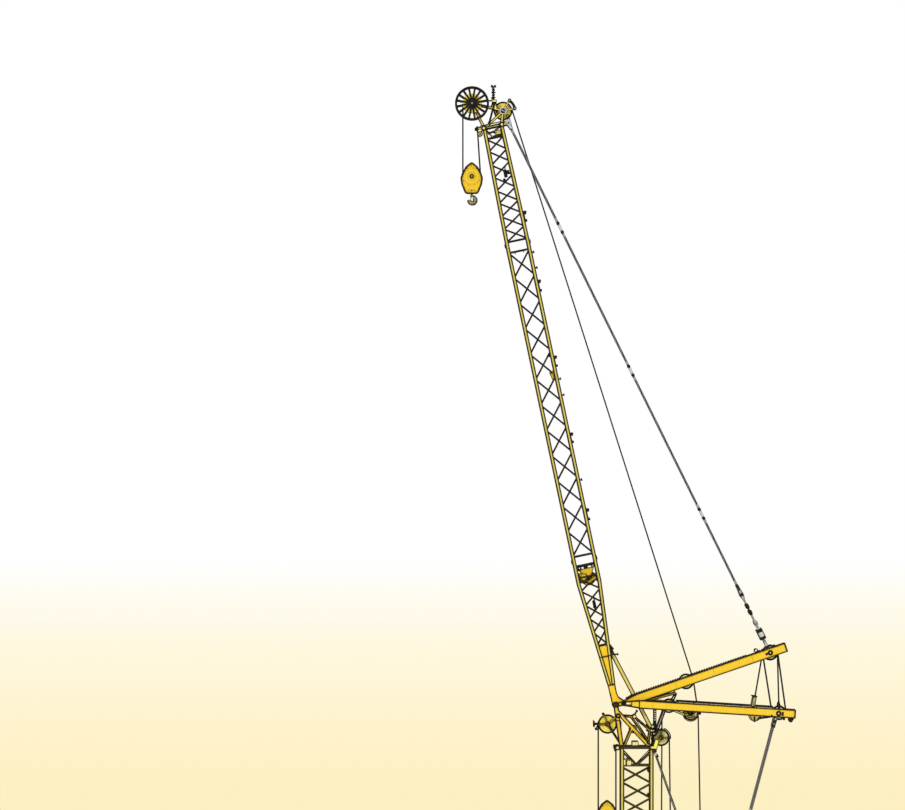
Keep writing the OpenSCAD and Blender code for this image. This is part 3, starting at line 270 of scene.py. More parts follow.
def jib_bracing(g, here):
    """v and u run across and along the jib, and off is how far a point is from the nearer chord's middle."""
    own = g("Mapping", settings={"vector_type": "TEXTURE"}, Vector=here, Location=pivot,
            Rotation=(0, -math.radians(JIB_LEAN), 0))
    v = g("SeparateXYZ", Vector=own)
    u = Value(g, v.socket.node.outputs[2])
    half = (g("MapRange", Value=u, From_Min=COLLAR, From_Max=FOOT_END, To_Min=0.078, To_Max=0.39)
            - g("MapRange", Value=u, From_Min=HEAD_START, From_Max=HEAD_END, To_Min=0.0, To_Max=0.065))
    ahead = g("MapRange", Value=u, From_Min=COLLAR, From_Max=FOOT_END, To_Min=0.0, To_Max=0.03)
    off = abs(abs(v + ahead) - half)
    plated = u < PLATED
    collars = off.maths("MAXIMUM", (abs(u - COLLAR) < 0.020) * 0.95,
                        (abs(u - SEAM) < 0.024) * (off > 0.05) * 0.95)
    seams = off.maths("MAXIMUM", collars, (off > 0.024) * (off < 0.062) * plated * (u > 0.78) * 0.95)
    full = plated * off.maths("MAXIMUM", off > 0.060, u < COLLAR)
    return off.maths("MAXIMUM", chord_lines(off, 0.052, 0.022) * (u > PLATED), seams), full

def boom_bracing(g, here):
    off = abs(abs(g("SeparateXYZ", Vector=here)) - BOOM_X)
    return chord_lines(off, 0.058, 0.027, 0.93), off < -1.0

crane_yellow = enamel("crane_yellow", CRANE_YELLOW, (0.91, 0.62, 0.05), (0.50, 0.28, 0.02), gleam=0.15)
CHORD = (0.68, 0.56, 0.11), (0.76, 0.64, 0.16), (0.30, 0.20, 0.02)
chord_yellow = enamel("chord_yellow", *CHORD, gloss=0.36)
jib_side_coat = enamel("jib_side_coat", *CHORD, gloss=0.36, place=jib_bracing, gleam=0.12)
boom_side_coat = enamel("boom_side_coat", *CHORD, gloss=0.36, place=boom_bracing, gleam=0.12)
# The head sheaves lie in deep shade at the jib head, so this yellow is painted lighter: painted light. The wheel webs
# carry it too.
plain_yellow = enamel("plain_yellow", (1.0, 0.80, 0.10), (0.98, 0.68, 0.09), (0.55, 0.32, 0.02), seam=0.012)
# Sheaves sit recessed in shade between plates, so this yellow is painted lighter than the crane yellow: painted light
# over their own yellow.
sheave_yellow = enamel("sheave_yellow", (1.0, 0.78, 0.08), (1.0, 0.84, 0.16), (0.60, 0.36, 0.03), seam=0.04)
# The sheaves' own pale yellow-green, raised further as painted light because the rear and guide sheaves sit in shade.
pale_sheave = enamel("pale_sheave", (0.84, 0.74, 0.24), (0.90, 0.82, 0.36), (0.45, 0.38, 0.10), seam=0.04)
# The backstops' own olive yellow, painted lighter than the chords' as painted light against the shade they sit in.
stay_yellow = enamel("stay_yellow", (0.78, 0.62, 0.14), (0.84, 0.68, 0.22), (0.40, 0.32, 0.08), seam=0.02)
olive_paint = enamel("olive_paint", (0.42, 0.38, 0.14), (0.50, 0.46, 0.20), (0.20, 0.17, 0.05), seam=0.02)
cast_nylon = enamel("cast_nylon", (0.94, 0.85, 0.56), (0.95, 0.89, 0.68), (0.55, 0.48, 0.28), seam=0.04, gloss=0.5)
lattice_dark = enamel("lattice_dark", (0.045, 0.034, 0.008), (0.075, 0.056, 0.014), (0.02, 0.015, 0.005),
                      gloss=0.55, gleam=0.12)
machine_black = enamel("machine_black", (0.012, 0.011, 0.008), (0.035, 0.032, 0.02), (0.03, 0.02, 0.01),
                       gloss=0.55, gleam=0.12)
# The jib head frame sits in shade behind the sheaves and wheels, so its yellow is painted lighter than the crane
# yellow: painted light.
head_yellow = enamel("head_yellow", (1.0, 0.78, 0.16), (1.0, 0.84, 0.28), (0.50, 0.34, 0.05), seam=0.02)
link_yellow = enamel("link_yellow", (0.86, 0.70, 0.22), (0.90, 0.78, 0.36), (0.35, 0.26, 0.06), gloss=0.4, seam=0.03)
hook_yellow = enamel("hook_yellow", (0.92, 0.76, 0.30), (0.94, 0.82, 0.42), (0.30, 0.18, 0.02), gloss=0.4)
print("materials after the paints:", len(bpy.data.materials))

# %% [markdown]
# Wire rope is laid from strands that run round it at a slant. On a thin running rope the lay is too fine to
# model, so a wave on the surface stands for it. Galvanised and forged steel are bare metal with cloudy
# patches.

# %% Rope and bare steel
def rope_steel(name, light, dark, lay, metal=0.5, gleam=0.15):
    def build(g):
        here = g("SeparateXYZ", Vector=g("TexCoord", out=3)).socket.node
        x, y, z = [Value(g, here.outputs[k]) for k in range(3)]
        slant = g("Math", settings={"operation": "SINE"}, i0=(z + (x + y) * 1.7) * (2 * math.pi / lay))
        groove = slant * 0.5 + 0.5
        tint = blend_colour(g, groove, (*dark, 1), (*light, 1))
        dent = g("Bump", Height=groove, Strength=0.5, Distance=0.004)
        g("OutputMaterial", Surface=g("BsdfPrincipled", Base_Color=tint, Roughness=0.62 - 0.2 * groove,
                                      Metallic=metal, Normal=dent, Specular_IOR_Level=gleam))
    return finish(name, build)

def bare_steel(name, light, dark, rough, metal=0.85, scale=9.0, gleam=0.3, seam=0.0):
    def build(g):
        here = g("TexCoord", out=3)
        cloud = g("TexNoise", Vector=here, Scale=scale, Detail=6.0, Roughness=0.65)
        fleck = g("TexVoronoi", Vector=here, Scale=scale * 7)
        share = g("MapRange", Value=cloud, From_Min=0.35, From_Max=0.68)
        tint = blend_colour(g, share, (*dark, 1), (*light, 1))
        if seam:
            tint = blend_colour(g, edge_dirt(g, seam) * 0.9, tint, (*DARK, 1))
        dent = g("Bump", Height=cloud + fleck * 0.3, Strength=0.2, Distance=0.003)
        g("OutputMaterial", Surface=g("BsdfPrincipled", Base_Color=tint, Roughness=rough + 0.15 * cloud,
                                      Metallic=metal, Normal=dent, Specular_IOR_Level=gleam))
    return finish(name, build)

running_rope = rope_steel("running_rope", (0.020, 0.020, 0.018), (0.006, 0.006, 0.005), 0.05, metal=0.15)
pendant_strand = rope_steel("pendant_strand", (0.030, 0.030, 0.028), (0.008, 0.008, 0.008), 0.03, metal=0.2)
bright_strand = rope_steel("bright_strand", (0.62, 0.60, 0.54), (0.34, 0.33, 0.29), 0.03, metal=0.2)
link_steel = bare_steel("link_steel", (0.80, 0.80, 0.77), (0.55, 0.55, 0.53), 0.4, metal=0.3, seam=0.05)
fork_steel = bare_steel("fork_steel", (0.62, 0.62, 0.64), (0.40, 0.40, 0.42), 0.45, metal=0.2)
hook_iron = bare_steel("hook_iron", (0.16, 0.14, 0.09), (0.06, 0.05, 0.03), 0.5, metal=0.5)
hook_brown = bare_steel("hook_brown", (0.10, 0.03, 0.012), (0.05, 0.016, 0.008), 0.5, metal=0.2)
print("materials after the metals:", len(bpy.data.materials))

# %% [markdown]
# Each measured solid says in its record what it is made of. That picks its coat, and a few solids get a coat of
# their own: the sheaves, some of which are cast in nylon, and the lattice sides, whose bracing is dark. The
# sheaves, the backstops and the jib head frame sit in shade, so their yellows are painted lighter: painted light.

# %% Paint the measured solids
coats = {
    "yellow_paint": crane_yellow, "lattice_yellow": chord_yellow, "dark_bracing": lattice_dark,
    "dark_steel": machine_black, "wheel_black": machine_black, "wire_rope": running_rope,
    "pendant_rope": link_steel, "hook_steel": hook_yellow}
own_coats = {
    "head_sheaves": plain_yellow, "rear_sheaves": pale_sheave, "lower_guide_sheave": pale_sheave,
    "upper_guide_sheave": cast_nylon, "upper_tip_sheaves": cast_nylon, "lower_tip_sheaves": cast_nylon,
    "lower_inner_sheave": cast_nylon, "front_sheave_arms": crane_yellow, "jib_backstops": stay_yellow,
    "jib_head_frame": head_yellow}
slots = {s["node"]: s["material_slot"] for s in frame["record"]["subparts"]}
for node, obj in frame["nodes"].items():
    coat = coats[slots[node]]
    # Sheaves in crane yellow get the lighter sheave yellow: painted light against the shade between their plates.
    if "sheave" in node and coat is crane_yellow:
        coat = sheave_yellow
    coat = own_coats.get(node, coat)
    if coat is chord_yellow and node.endswith(("_left", "_right", "_side")):
        coat = jib_side_coat if node.startswith("jib") else boom_side_coat
    obj.data.materials.clear()
    obj.data.materials.append(coat)
print("solids painted:", len(frame["nodes"]))

# %% [markdown]
# A few workshop moves make almost all of the ironwork: a turned bar, a block with broken edges, a plate cut to
# an outline, and a ring. Each starts as a primitive and gets its edges bevelled, because a real edge always
# catches light. The crane is the same on both sides, so a part is made once, at +Y, and both() mirrors it.
# fit() gathers the parts of one piece, puts them in place and gives them a coat and a body.

# %% Workshop moves
def pick(*objs):
    """Lets go of everything, then selects these and makes the first one active."""
    clear()
    for obj in objs:
        obj.select_set(True)
    bpy.context.view_layer.objects.active = objs[0]

def settle(obj):
    pick(obj)
    bpy.ops.object.transform_apply(location=True, rotation=True, scale=True)
    return obj

def broken_edges(obj, width, steps=1, angle=35):
    if width > 0:
        pick(obj)
        rim = obj.modifiers.new("rim", "BEVEL")
        rim.width, rim.segments, rim.limit_method, rim.angle_limit = width, steps, "ANGLE", math.radians(angle)
        bpy.ops.object.modifier_apply(modifier="rim")
    return obj

def rod(a, b, r, sides=16, lip=None, r2=None):
    """A turned bar from a to b, or a cone where a second radius is given."""
    a, b = Vector(a), Vector(b)
    span = b - a
    clear()
    turn = span.to_track_quat("Z", "Y").to_euler()
    if r2 is None:
        bpy.ops.mesh.primitive_cylinder_add(vertices=sides, radius=r, depth=span.length, location=(a + b) / 2,
                                            rotation=turn)
    else:
        bpy.ops.mesh.primitive_cone_add(vertices=sides, radius1=r, radius2=r2, depth=span.length,
                                        location=(a + b) / 2, rotation=turn)
    return broken_edges(settle(bpy.context.object), 0.12 * r if lip is None else lip, angle=50)

def block(low, high, lip=0.006):
    low, high = Vector(low), Vector(high)
    clear()
    bpy.ops.mesh.primitive_cube_add(size=1, location=(low + high) / 2, scale=high - low)
    return broken_edges(settle(bpy.context.object), lip)

def pin(x, z, y, half, r, sides=16):
    """A bar straight across the crane, from y - half to y + half."""
    return rod((x, y - half, z), (x, y + half, z), r, sides)

def stick(a, b, y, r, sides=12, **more):
    """A bar in one upright plane, from a to b, both x and z."""
    return rod((a[0], y, a[1]), (b[0], y, b[1]), r, sides, **more)

def slab(x0, z0, x1, z1, y, half, lip=0.006):
    """A block that shows x0, z0 to x1, z1 from the side, and reaches half its width to each side of y."""
    return block((x0, y - half, z0), (x1, y + half, z1), lip)

def plate(outline, y, t, lip=0.004):
    """A plate cut to an outline in x and z, centred on y."""
    clear()
    bpy.ops.mesh.primitive_circle_add(vertices=len(outline), radius=1, fill_type="NGON")
    obj = bpy.context.object
    for vertex, (x, z) in zip(obj.data.vertices, outline):
        vertex.co = (x, y - t / 2, z)
    bpy.ops.object.mode_set(mode="EDIT")
    bpy.ops.mesh.select_all(action="SELECT")
    bpy.ops.mesh.extrude_region_move(TRANSFORM_OT_translate={"value": (0, t, 0)})
    bpy.ops.mesh.select_all(action="SELECT")
    bpy.ops.mesh.normals_make_consistent(inside=False)
    bpy.ops.object.mode_set(mode="OBJECT")
    return broken_edges(settle(obj), lip)

def beam(a, b, y, w, t, lip=0.004):
    """A flat bar on edge from a to b, both x and z, w wide and t thick across."""
    a, b = Vector((a[0], a[1])), Vector((b[0], b[1]))
    side = (b - a).normalized().orthogonal() * (w / 2)
    return plate([tuple(a + side), tuple(b + side), tuple(b - side), tuple(a - side)], y, t, lip)

def ring(at, big, small, across="Y", around=32, section=10):
    clear()
    turn = (math.pi / 2, 0, 0) if across == "Y" else (0, 0, 0)
    bpy.ops.mesh.primitive_torus_add(major_radius=big, minor_radius=small, major_segments=around,
                                     minor_segments=section, location=at, rotation=turn)
    return settle(bpy.context.object)

def disc(at, r, t, sides=32, lip=0.004):
    return rod(Vector(at) - Vector((0, t / 2, 0)), Vector(at) + Vector((0, t / 2, 0)), r, sides, lip)

def again(obj, *moves):
    """Copies of a part, each with its own mesh."""
    made = []
    for move in moves:
        copy = obj.copy()
        copy.data = obj.data.copy()
        bpy.context.collection.objects.link(copy)
        copy.data.transform(move if isinstance(move, Matrix) else Matrix.Translation(move))
        made.append(copy)
    return made

def both(parts):
    """These parts and their mirror images on the crane's other side, with the faces turned out again."""
    made = list(parts)
    for part in parts:
        made += again(part, Matrix.Scale(-1, 4, (0, 1, 0)))
        made[-1].data.flip_normals()
    return made

def arc(x, z, r, start, end, steps):
    turns = [math.radians(start + (end - start) * k / steps) for k in range(steps + 1)]
    return [(x + r * math.cos(turn), z + r * math.sin(turn)) for turn in turns]

def fit(name, parts, coat, body, place=RIG, smooth=40):
    """Joins the parts of one piece, puts it in place, and gives it a coat and the body it rides on."""
    pick(*parts)
    if len(parts) > 1:
        bpy.ops.object.join()
    obj = bpy.context.object
    obj.name = obj.data.name = name
    obj.data.transform(place)
    bpy.ops.object.shade_smooth_by_angle(angle=math.radians(smooth))
    obj.data.materials.clear()
    obj.data.materials.append(coat)
    if body:
        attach(obj, body)
    print(f"{name}: {len(parts)} parts, {len(obj.data.polygons)} faces")
    return obj

# %% [markdown]
# A scale model of this size reads best with its panel lines drawn: a thin black bead follows every hard edge of
# the yellow parts and makes the shapes clear from far away. The bead is made from the solid's own
# sharp edges, turned into a curve with a round profile.

# %% Edge lining
def lined(source, body, r=0.012, sharp=50, cut=None):
    """A bead along the sharp edges of a solid or piece, sunk a little into them. cut is a point and a direction:
    nothing beyond that plane is lined."""
    bead = source.copy()
    bead.data = source.data.copy()
    bpy.context.collection.objects.link(bead)
    bead.parent = None
    bead.matrix_world = source.matrix_world
    pick(bead)
    bpy.ops.object.mode_set(mode="EDIT")
    bpy.ops.mesh.select_mode(type="EDGE")
    bpy.ops.mesh.select_all(action="SELECT")
    bpy.ops.mesh.remove_doubles(threshold=0.0002)
    if cut:
        bpy.ops.mesh.bisect(plane_co=cut[0], plane_no=cut[1], clear_outer=True)
        bpy.ops.mesh.select_all(action="SELECT")
    bpy.ops.transform.shrink_fatten(value=-0.7 * r)
    bpy.ops.mesh.select_all(action="DESELECT")
    bpy.ops.mesh.edges_select_sharp(sharpness=math.radians(sharp))
    bpy.ops.mesh.select_all(action="INVERT")
    bpy.ops.mesh.delete(type="EDGE")
    bpy.ops.mesh.select_all(action="SELECT")
    bpy.ops.mesh.delete(type="ONLY_FACE")
    bpy.ops.object.mode_set(mode="OBJECT")
    if not bead.data.edges:
        bpy.data.objects.remove(bead)
        return None
    bpy.ops.object.convert(target="CURVE")
    bead = bpy.context.object
    bead.data.dimensions, bead.data.bevel_depth, bead.data.bevel_resolution = "3D", r, 0
    bead.data.use_fill_caps = True
    bpy.ops.object.convert(target="MESH")
    return fit(source.name + "_lining", [bpy.context.object], machine_black, body, smooth=60)

def fit_lined(name, parts, coat, body, place=RIG, r=0.016):
    lined(fit(name, parts, coat, body, place), body, r, sharp=38)

home = {node: body for body, nodes in frame["record"]["behaviour"]["bodies"].items() for node in nodes}
lined_nodes = [node for node in frame["nodes"] if node != "head_sheaves"
               and (coats[slots[node]] is crane_yellow or node == "front_sheave_arms")]

def bead_r(node):
    """Broad beads on the big plated parts, finer ones on hook blocks and sheaves."""
    if node == "lower_guide_sheave":
        return 0.013
    if "sheave" in node:
        return 0.019
    return 0.024 if "block" in node else 0.029

for node in lined_nodes:
    lined(frame["nodes"][node], home[node], bead_r(node))
above_foot = JIB @ Vector((0, 0, 0.80)), JIB.to_3x3() @ Vector((0, 0, 1))
for node in ("jib_foot_left", "jib_foot_right"):
    lined(frame["nodes"][node], "luffing_jib", r=0.029, cut=above_foot)
print("nodes lined:", len(lined_nodes) + 2)

# %% [markdown]
# The pendants that hold up the jib are thick wire ropes, and their strands show. A profile is swept up and
# turned at the same time by a Screw modifier, which is just how the strands lie: a star for a whole rope, or
# three small circles off the middle for single bright strands round a dark core.

# %% Pendant strands
def wind(obj, span, lay, step):
    """Sweeps a profile up by the span and turns it once in every lay."""
    screw = obj.modifiers.new("lay", "SCREW")
    screw.axis, screw.screw_offset, screw.angle = "Z", span, 2 * math.pi * span / lay
    screw.steps = screw.render_steps = max(2, int(span / step))
    screw.use_merge_vertices = False
    bpy.ops.object.modifier_apply(modifier="lay")

def stretch(obj, a, b):
    """Moves a piece that was made upright at the origin on to the line from a to b."""
    obj.data.transform(Matrix.Translation(a) @ (b - a).to_track_quat("Z", "Y").to_matrix().to_4x4())
    return obj

def laid_rope(a, b, core, crest, lay=0.36, strands=6, step=0.06):
    """A rope of visible strands from a to b, wound round a core of that radius."""
    a, b = Vector(a), Vector(b)
    clear()
    bpy.ops.mesh.primitive_circle_add(vertices=strands * 4, radius=1, fill_type="NOTHING")
    obj = bpy.context.object
    for k, vertex in enumerate(obj.data.vertices):
        vertex.co *= (core, core + 0.6 * (crest - core), crest, core + 0.6 * (crest - core))[k % 4]
    wind(obj, (b - a).length, lay, step)
    bpy.ops.object.mode_set(mode="EDIT")
    bpy.ops.mesh.select_all(action="DESELECT")
    bpy.ops.mesh.select_non_manifold()
    bpy.ops.mesh.fill_holes(sides=0)
    bpy.ops.mesh.select_all(action="SELECT")
    bpy.ops.mesh.normals_make_consistent(inside=False)
    bpy.ops.object.mode_set(mode="OBJECT")
    return stretch(obj, a, b)

def coiled_strands(a, b, at=0.037, r=0.0095, lay=0.30, strands=3, step=0.024):
    """Single strands wound round the line from a to b."""
    a, b = Vector(a), Vector(b)
    clear()
    made = []
    for k in range(strands):
        turn = 2 * math.pi * k / strands
        bpy.ops.mesh.primitive_circle_add(vertices=6, radius=r, fill_type="NOTHING",
                                          location=(at * math.cos(turn), at * math.sin(turn), 0))
        made.append(settle(bpy.context.object))
    for obj in made:
        obj.select_set(True)
    bpy.ops.object.join()
    obj = bpy.context.object
    wind(obj, (b - a).length, lay, step)
    return stretch(obj, a, b)

CORE = 0.0400         # radius of a pendant's dark core
CLAMP = 0.22          # length of the end fitting, where no strands show
fork = JIB @ Vector((0.560, 0, 21.960))
lug = UPPER @ Vector((5.722, 0, 0.2425))
run = (lug - fork).normalized()
reach = (lug - fork).length
joins = (0, 0.2, 0.473, 0.746, 0.892, 1)

def strung(a, b, y):
    """One length of pendant at y: its core and its bright strands."""
    a, b = a + Vector((0, y, 0)), b + Vector((0, y, 0))
    return rod(a, b, CORE, 12, 0), coiled_strands(a, b)

def pendants(name, ends, body):
    pairs = [strung(a, b, y) for a, b, y in ends]
    fit(name + "_strands", [core for core, coil in pairs], pendant_strand, body, smooth=80)
    fit(name + "_bright_strands", [coil for core, coil in pairs], bright_strand, body, smooth=80)

ends = []
for y in (-UPPER_SIDE, UPPER_SIDE):
    for k in range(4):
        low = fork + run * (reach * joins[k] + (0.23 if k == 0 else 0.18) + CLAMP)
        ends.append((low, fork + run * (reach * joins[k + 1] - 0.18 - CLAMP), y))
pendants("jib_pendant", ends, "luffing_jib")

low_top, rear_top = LOWER @ Vector((5.650, 0, -0.2225)), Vector((0.650, 0, 4.272))
low_foot, rear_foot = Vector((low_top.x - 0.95, 0, 1.88)), Vector((1.505, 0, 1.88))
ends = []
for top, foot, from_top, half in ((low_top, low_foot, CLAMP, LOWER_SIDE), (rear_top, rear_foot, 0.27, REAR_PENDANT)):
    aim = (foot - top).normalized()
    ends += [(top + aim * from_top, foot - aim * CLAMP, y) for y in (-half, half)]
pendants("rig_pendant", ends, "rig")

aim = (low_foot - low_top).normalized()
aside = Vector((aim.z, 0, -aim.x))
eye = low_top + Vector((0, 0.655, 0))
edges = [rod(eye + aside * k * 0.052 - aim * 0.02, eye + aside * k * 0.044 + aim * 0.33, 0.019, 8) for k in (-1, 1)]
edges += [disc(eye + aim * 0.12, 0.036, 0.02, 20), ring(eye, 0.056, 0.018)]
fit("lower_pendant_fork_edges", both(edges), machine_black, "rig")

# %% [markdown]
# The hoist ropes that stay with one part are wound from visible strands too. Each runs straight, so its line is
# read from the two ends of its own solid.

# %% Hoist rope strands
def over_rope(node, crest=0.029):
    """Strands laid over every straight run of rope in a node."""
    runs = frame["nodes"][node].copy()
    runs.data = frame["nodes"][node].data.copy()
    bpy.context.collection.objects.link(runs)
    runs.parent = None
    pick(runs)
    bpy.ops.mesh.separate(type="LOOSE")
    made = []
    for run_solid in list(bpy.context.selected_objects):
        points = [vertex.co.copy() for vertex in run_solid.data.vertices]
        middle = sum(points, Vector()) / len(points)
        first = max(points, key=lambda point: (point - middle).length)
        last = max(points, key=lambda point: (point - first).length)
        ends = [[point for point in points if (point - end).length < 0.035] for end in (first, last)]
        a, b = [sum(group, Vector()) / len(group) for group in ends]
        if (b - a).length > 1:
            made.append(laid_rope(a, b, crest * 0.85, crest, lay=0.42, strands=5, step=0.05))
        bpy.data.objects.remove(run_solid)
    return fit(node + "_strands", made, running_rope, home[node], smooth=80)

for node in ("jib_hoist_rope", "running_ropes", "jib_falls"):
    over_rope(node)

# %% [markdown]
# The upper mast is two box girders. Along their tops runs a serrated grip strip for boots, at the tip a
# bolted end plate closes each box, and fine weld seams show where the plates of the box meet. One tooth is
# modelled and copied along the strip.

# %% Upper mast ironwork
TOP = 0.1625       # half the height of an upper girder
ON_UPPER, ON_LOWER, ON_JIB = ("luffing_jib", UPPER), ("rig", LOWER), ("luffing_jib", JIB)
y = UPPER_SIDE
tooth = slab(0.36, TOP + 0.012, 0.43, TOP + 0.046, y, 0.055, 0)
parts = [slab(0.34, TOP + 0.001, 4.98, TOP + 0.014, y, 0.055, 0.003), tooth,
         slab(6.371, -0.176, 6.395, 0.176, y, 0.068, 0.005)]
parts += again(tooth, *[(0.095 * k, 0, 0) for k in range(1, 48)])
parts += [slab(x, TOP + 0.001, x + 0.10, TOP + 0.045, y, 0.045, 0.008) for x in (5.93, 5.35)]
fit("upper_grip_strips", both(parts), machine_black, *ON_UPPER)

bolt = rod((6.395, y - 0.045, -0.14), (6.409, y - 0.045, -0.14), 0.012, 6, 0.002)
bolts = [bolt] + again(bolt, *[(0, dy, dz) for dy in (0, 0.09) for dz in (0, 0.07, 0.14, 0.21, 0.28) if dy or dz])
fit("upper_end_bolts", both(bolts), lattice_dark, *ON_UPPER)
seams = [slab(x, -TOP - 0.0025, x + 0.012, TOP - 0.002, y, 0.0625, 0.001) for x in (2.05, 3.55, 5.05)]
fit("upper_weld_seams", both(seams), crane_yellow, *ON_UPPER)

# %% [markdown]
# The axle of the tip sheaves ends outside the girders in a thick ring round a pale cap, with a keeper plate
# beside it. On top of the lower mast stand the rail and the post that the upper mast rests on when the two are
# folded: a pale strip, dark bars over it, and an olive post with a black foot plate on its head.

# %% Mast tip axles and rest rail
TIP = 5.757        # the tip axle's place along a mast
y = 0.424
parts = [ring((TIP, y, 0), 0.066, 0.036), slab(5.565, -0.045, 5.665, 0.040, y, 0.006, 0.002),
         slab(5.655, -0.012, 5.70, 0.020, y, 0.005, 0.001),
         slab(5.78, TOP + 0.001, 5.93, TOP + 0.03, UPPER_SIDE, 0.055, 0.004)]
parts += [pin(x, z, UPPER_SIDE, 0.06, 0.055, 20) for x, z in ((5.53, TOP), (5.99, TOP + 0.012))]
fit("upper_tip_axle", both(parts), machine_black, *ON_UPPER)
fit("upper_tip_axle_caps", both([disc((TIP, 0.423, 0), 0.040, 0.012, 20)]), link_yellow, *ON_UPPER)

y = 0.664
parts = [ring((TIP, y, -0.012), 0.068, 0.036), slab(5.870, -0.090, 5.945, 0.055, y, 0.006, 0.002),
         slab(5.47, -0.17, 5.53, -0.06, LOWER_SIDE, 0.062, 0.004)]
fit("lower_tip_axle", both(parts), machine_black, *ON_LOWER)
fit("lower_tip_axle_caps", both([disc((TIP, 0.663, -0.012), 0.042, 0.012, 20)]), link_yellow, *ON_LOWER)

y = LOWER_SIDE
fit("rail_kick_strips", both([slab(1.95, 0.156, 5.56, 0.184, y, 0.014, 0.002)]), cast_nylon, *ON_LOWER)
post = plate([(4.745, 0.20), (4.850, 0.20), (4.876, 0.530), (4.790, 0.530)], y, 0.062)
fit("lower_rest_posts", both([post]), olive_paint, *ON_LOWER)
parts = [stick((4.740, 0.155), (4.785, 0.545), y, 0.022, 10), stick((4.855, 0.155), (4.880, 0.545), y, 0.022, 10),
         stick((4.800, 0.155), (4.835, 0.545), y, 0.036, 10, r2=0.030),
         slab(4.725, 0.545, 4.93, 0.585, y, 0.05, 0.008), stick((1.95, 0.218), (5.56, 0.218), y, 0.014, 10)]
fit("rail_lining", both(parts), machine_black, *ON_LOWER)

# %% [markdown]
# Under the lower mast hangs the guide sheave that turns the jib's hoist rope. Two thin brackets hold it, with a
# curved keeper below the rim so that the rope can't drop out. Under the upper mast runs the stop rail, which
# meets the lower mast when both are folded for transport.

# %% Lower mast guide sheave bracket and upper mast stop
GUIDE = Vector((2.512, 0, -0.219))
y = 0.075
keeper = arc(GUIDE.x, GUIDE.z - 0.01, 0.225, 215, 325, 12) + arc(GUIDE.x, GUIDE.z - 0.01, 0.155, 325, 215, 12)
parts = [beam((1.86, -0.15), (2.30, -0.30), y, 0.085, 0.014), plate(keeper, y, 0.012),
         beam((2.30, -0.31), (GUIDE.x, GUIDE.z - 0.03), y, 0.075, 0.014)]
fit_lined("guide_sheave_bracket", both(parts), link_yellow, *ON_LOWER)
y = 0.085
parts = [ring((GUIDE.x, y, GUIDE.z), 0.075, 0.032),
         beam((2.32, -0.20), (GUIDE.x - 0.05, GUIDE.z + 0.01), y, 0.035, 0.012),
         beam((GUIDE.x + 0.06, GUIDE.z - 0.05), (2.72, -0.14), y, 0.040, 0.012),
         slab(2.76, -0.255, 2.90, -0.155, y, 0.03, 0.01),
         ring((GUIDE.x, 0.045, GUIDE.z - 0.02), 0.292, 0.010, around=48, section=8)]
fit("guide_sheave_trim", both(parts), machine_black, *ON_LOWER)
fit("guide_sheave_caps", both([disc((GUIDE.x, 0.090, GUIDE.z), 0.040, 0.012, 20)]), link_steel, *ON_LOWER)

y = UPPER_SIDE
parts = [stick((0.95, -0.20), (1.93, -0.27), y, 0.030), stick((0.95, -0.20), (0.95, -TOP + 0.004), y, 0.02),
         stick((1.93, -0.27), (1.93, -TOP + 0.004), y, 0.02), disc((1.93, y, -0.27), 0.05, 0.07)]
fit("mast_stop_rails", both(parts), crane_yellow, *ON_UPPER)
parts = [slab(1.88, -0.35, 1.98, -0.285, y, 0.05, 0.008), slab(1.68, -0.505, 1.83, -0.470, y, 0.04),
         stick((1.90, -0.31), (1.70, -0.465), y, 0.020, 10), stick((1.96, -0.33), (1.81, -0.49), y, 0.020, 10),
         stick((0.95, -0.163), (1.91, -0.232), y, 0.014, 8), stick((0.95, -0.238), (1.91, -0.307), y, 0.014, 8),
         ring((5.283, y, 0.242), 0.062, 0.017), slab(5.245, TOP + 0.001, 5.321, 0.188, y, 0.02, 0.004)]
fit("mast_stop_clamps", both(parts), machine_black, *ON_UPPER)

# %% [markdown]
# The lower mast's root is a forked adapter bolted to the box, and its joint shows as a dark line. The tip
# carries rubber buffers, the anchor of one rope, and a small guide sheave that pokes out below.

# %% Lower mast ironwork
HALF = 0.1525      # half the height of a lower girder
y = LOWER_SIDE
parts = [slab(0.558, -0.150, 0.598, 0.150, y, 0.066, 0.002), slab(6.371, -0.165, 6.395, 0.165, y, 0.068, 0.005),
         disc((0, y, 0), 0.060, 0.132)]
for x, z, r in ((5.963, -0.204, 0.05), (6.222, -0.245, 0.075)):
    parts += [pin(x, z, y, 0.05, r, 24), slab(x - 0.03, z, x + 0.03, -HALF - 0.001, y, 0.03, 0.004)]
fit("lower_buffers_and_joints", both(parts), machine_black, *ON_LOWER)

parts = [slab(5.62, HALF + 0.001, 5.70, HALF + 0.02, y, 0.05, 0.004),
         disc((5.755, 0.3, HALF + 0.16), 0.048, 0.03, 24)]
parts += [rod((x, y - 0.052, HALF + 0.09), (x, y + 0.052, HALF + 0.09), 0.014, 6, 0.002) for x in (5.715, 5.795)]
fit("rope_anchor_trim", both(parts), machine_black, *ON_LOWER)

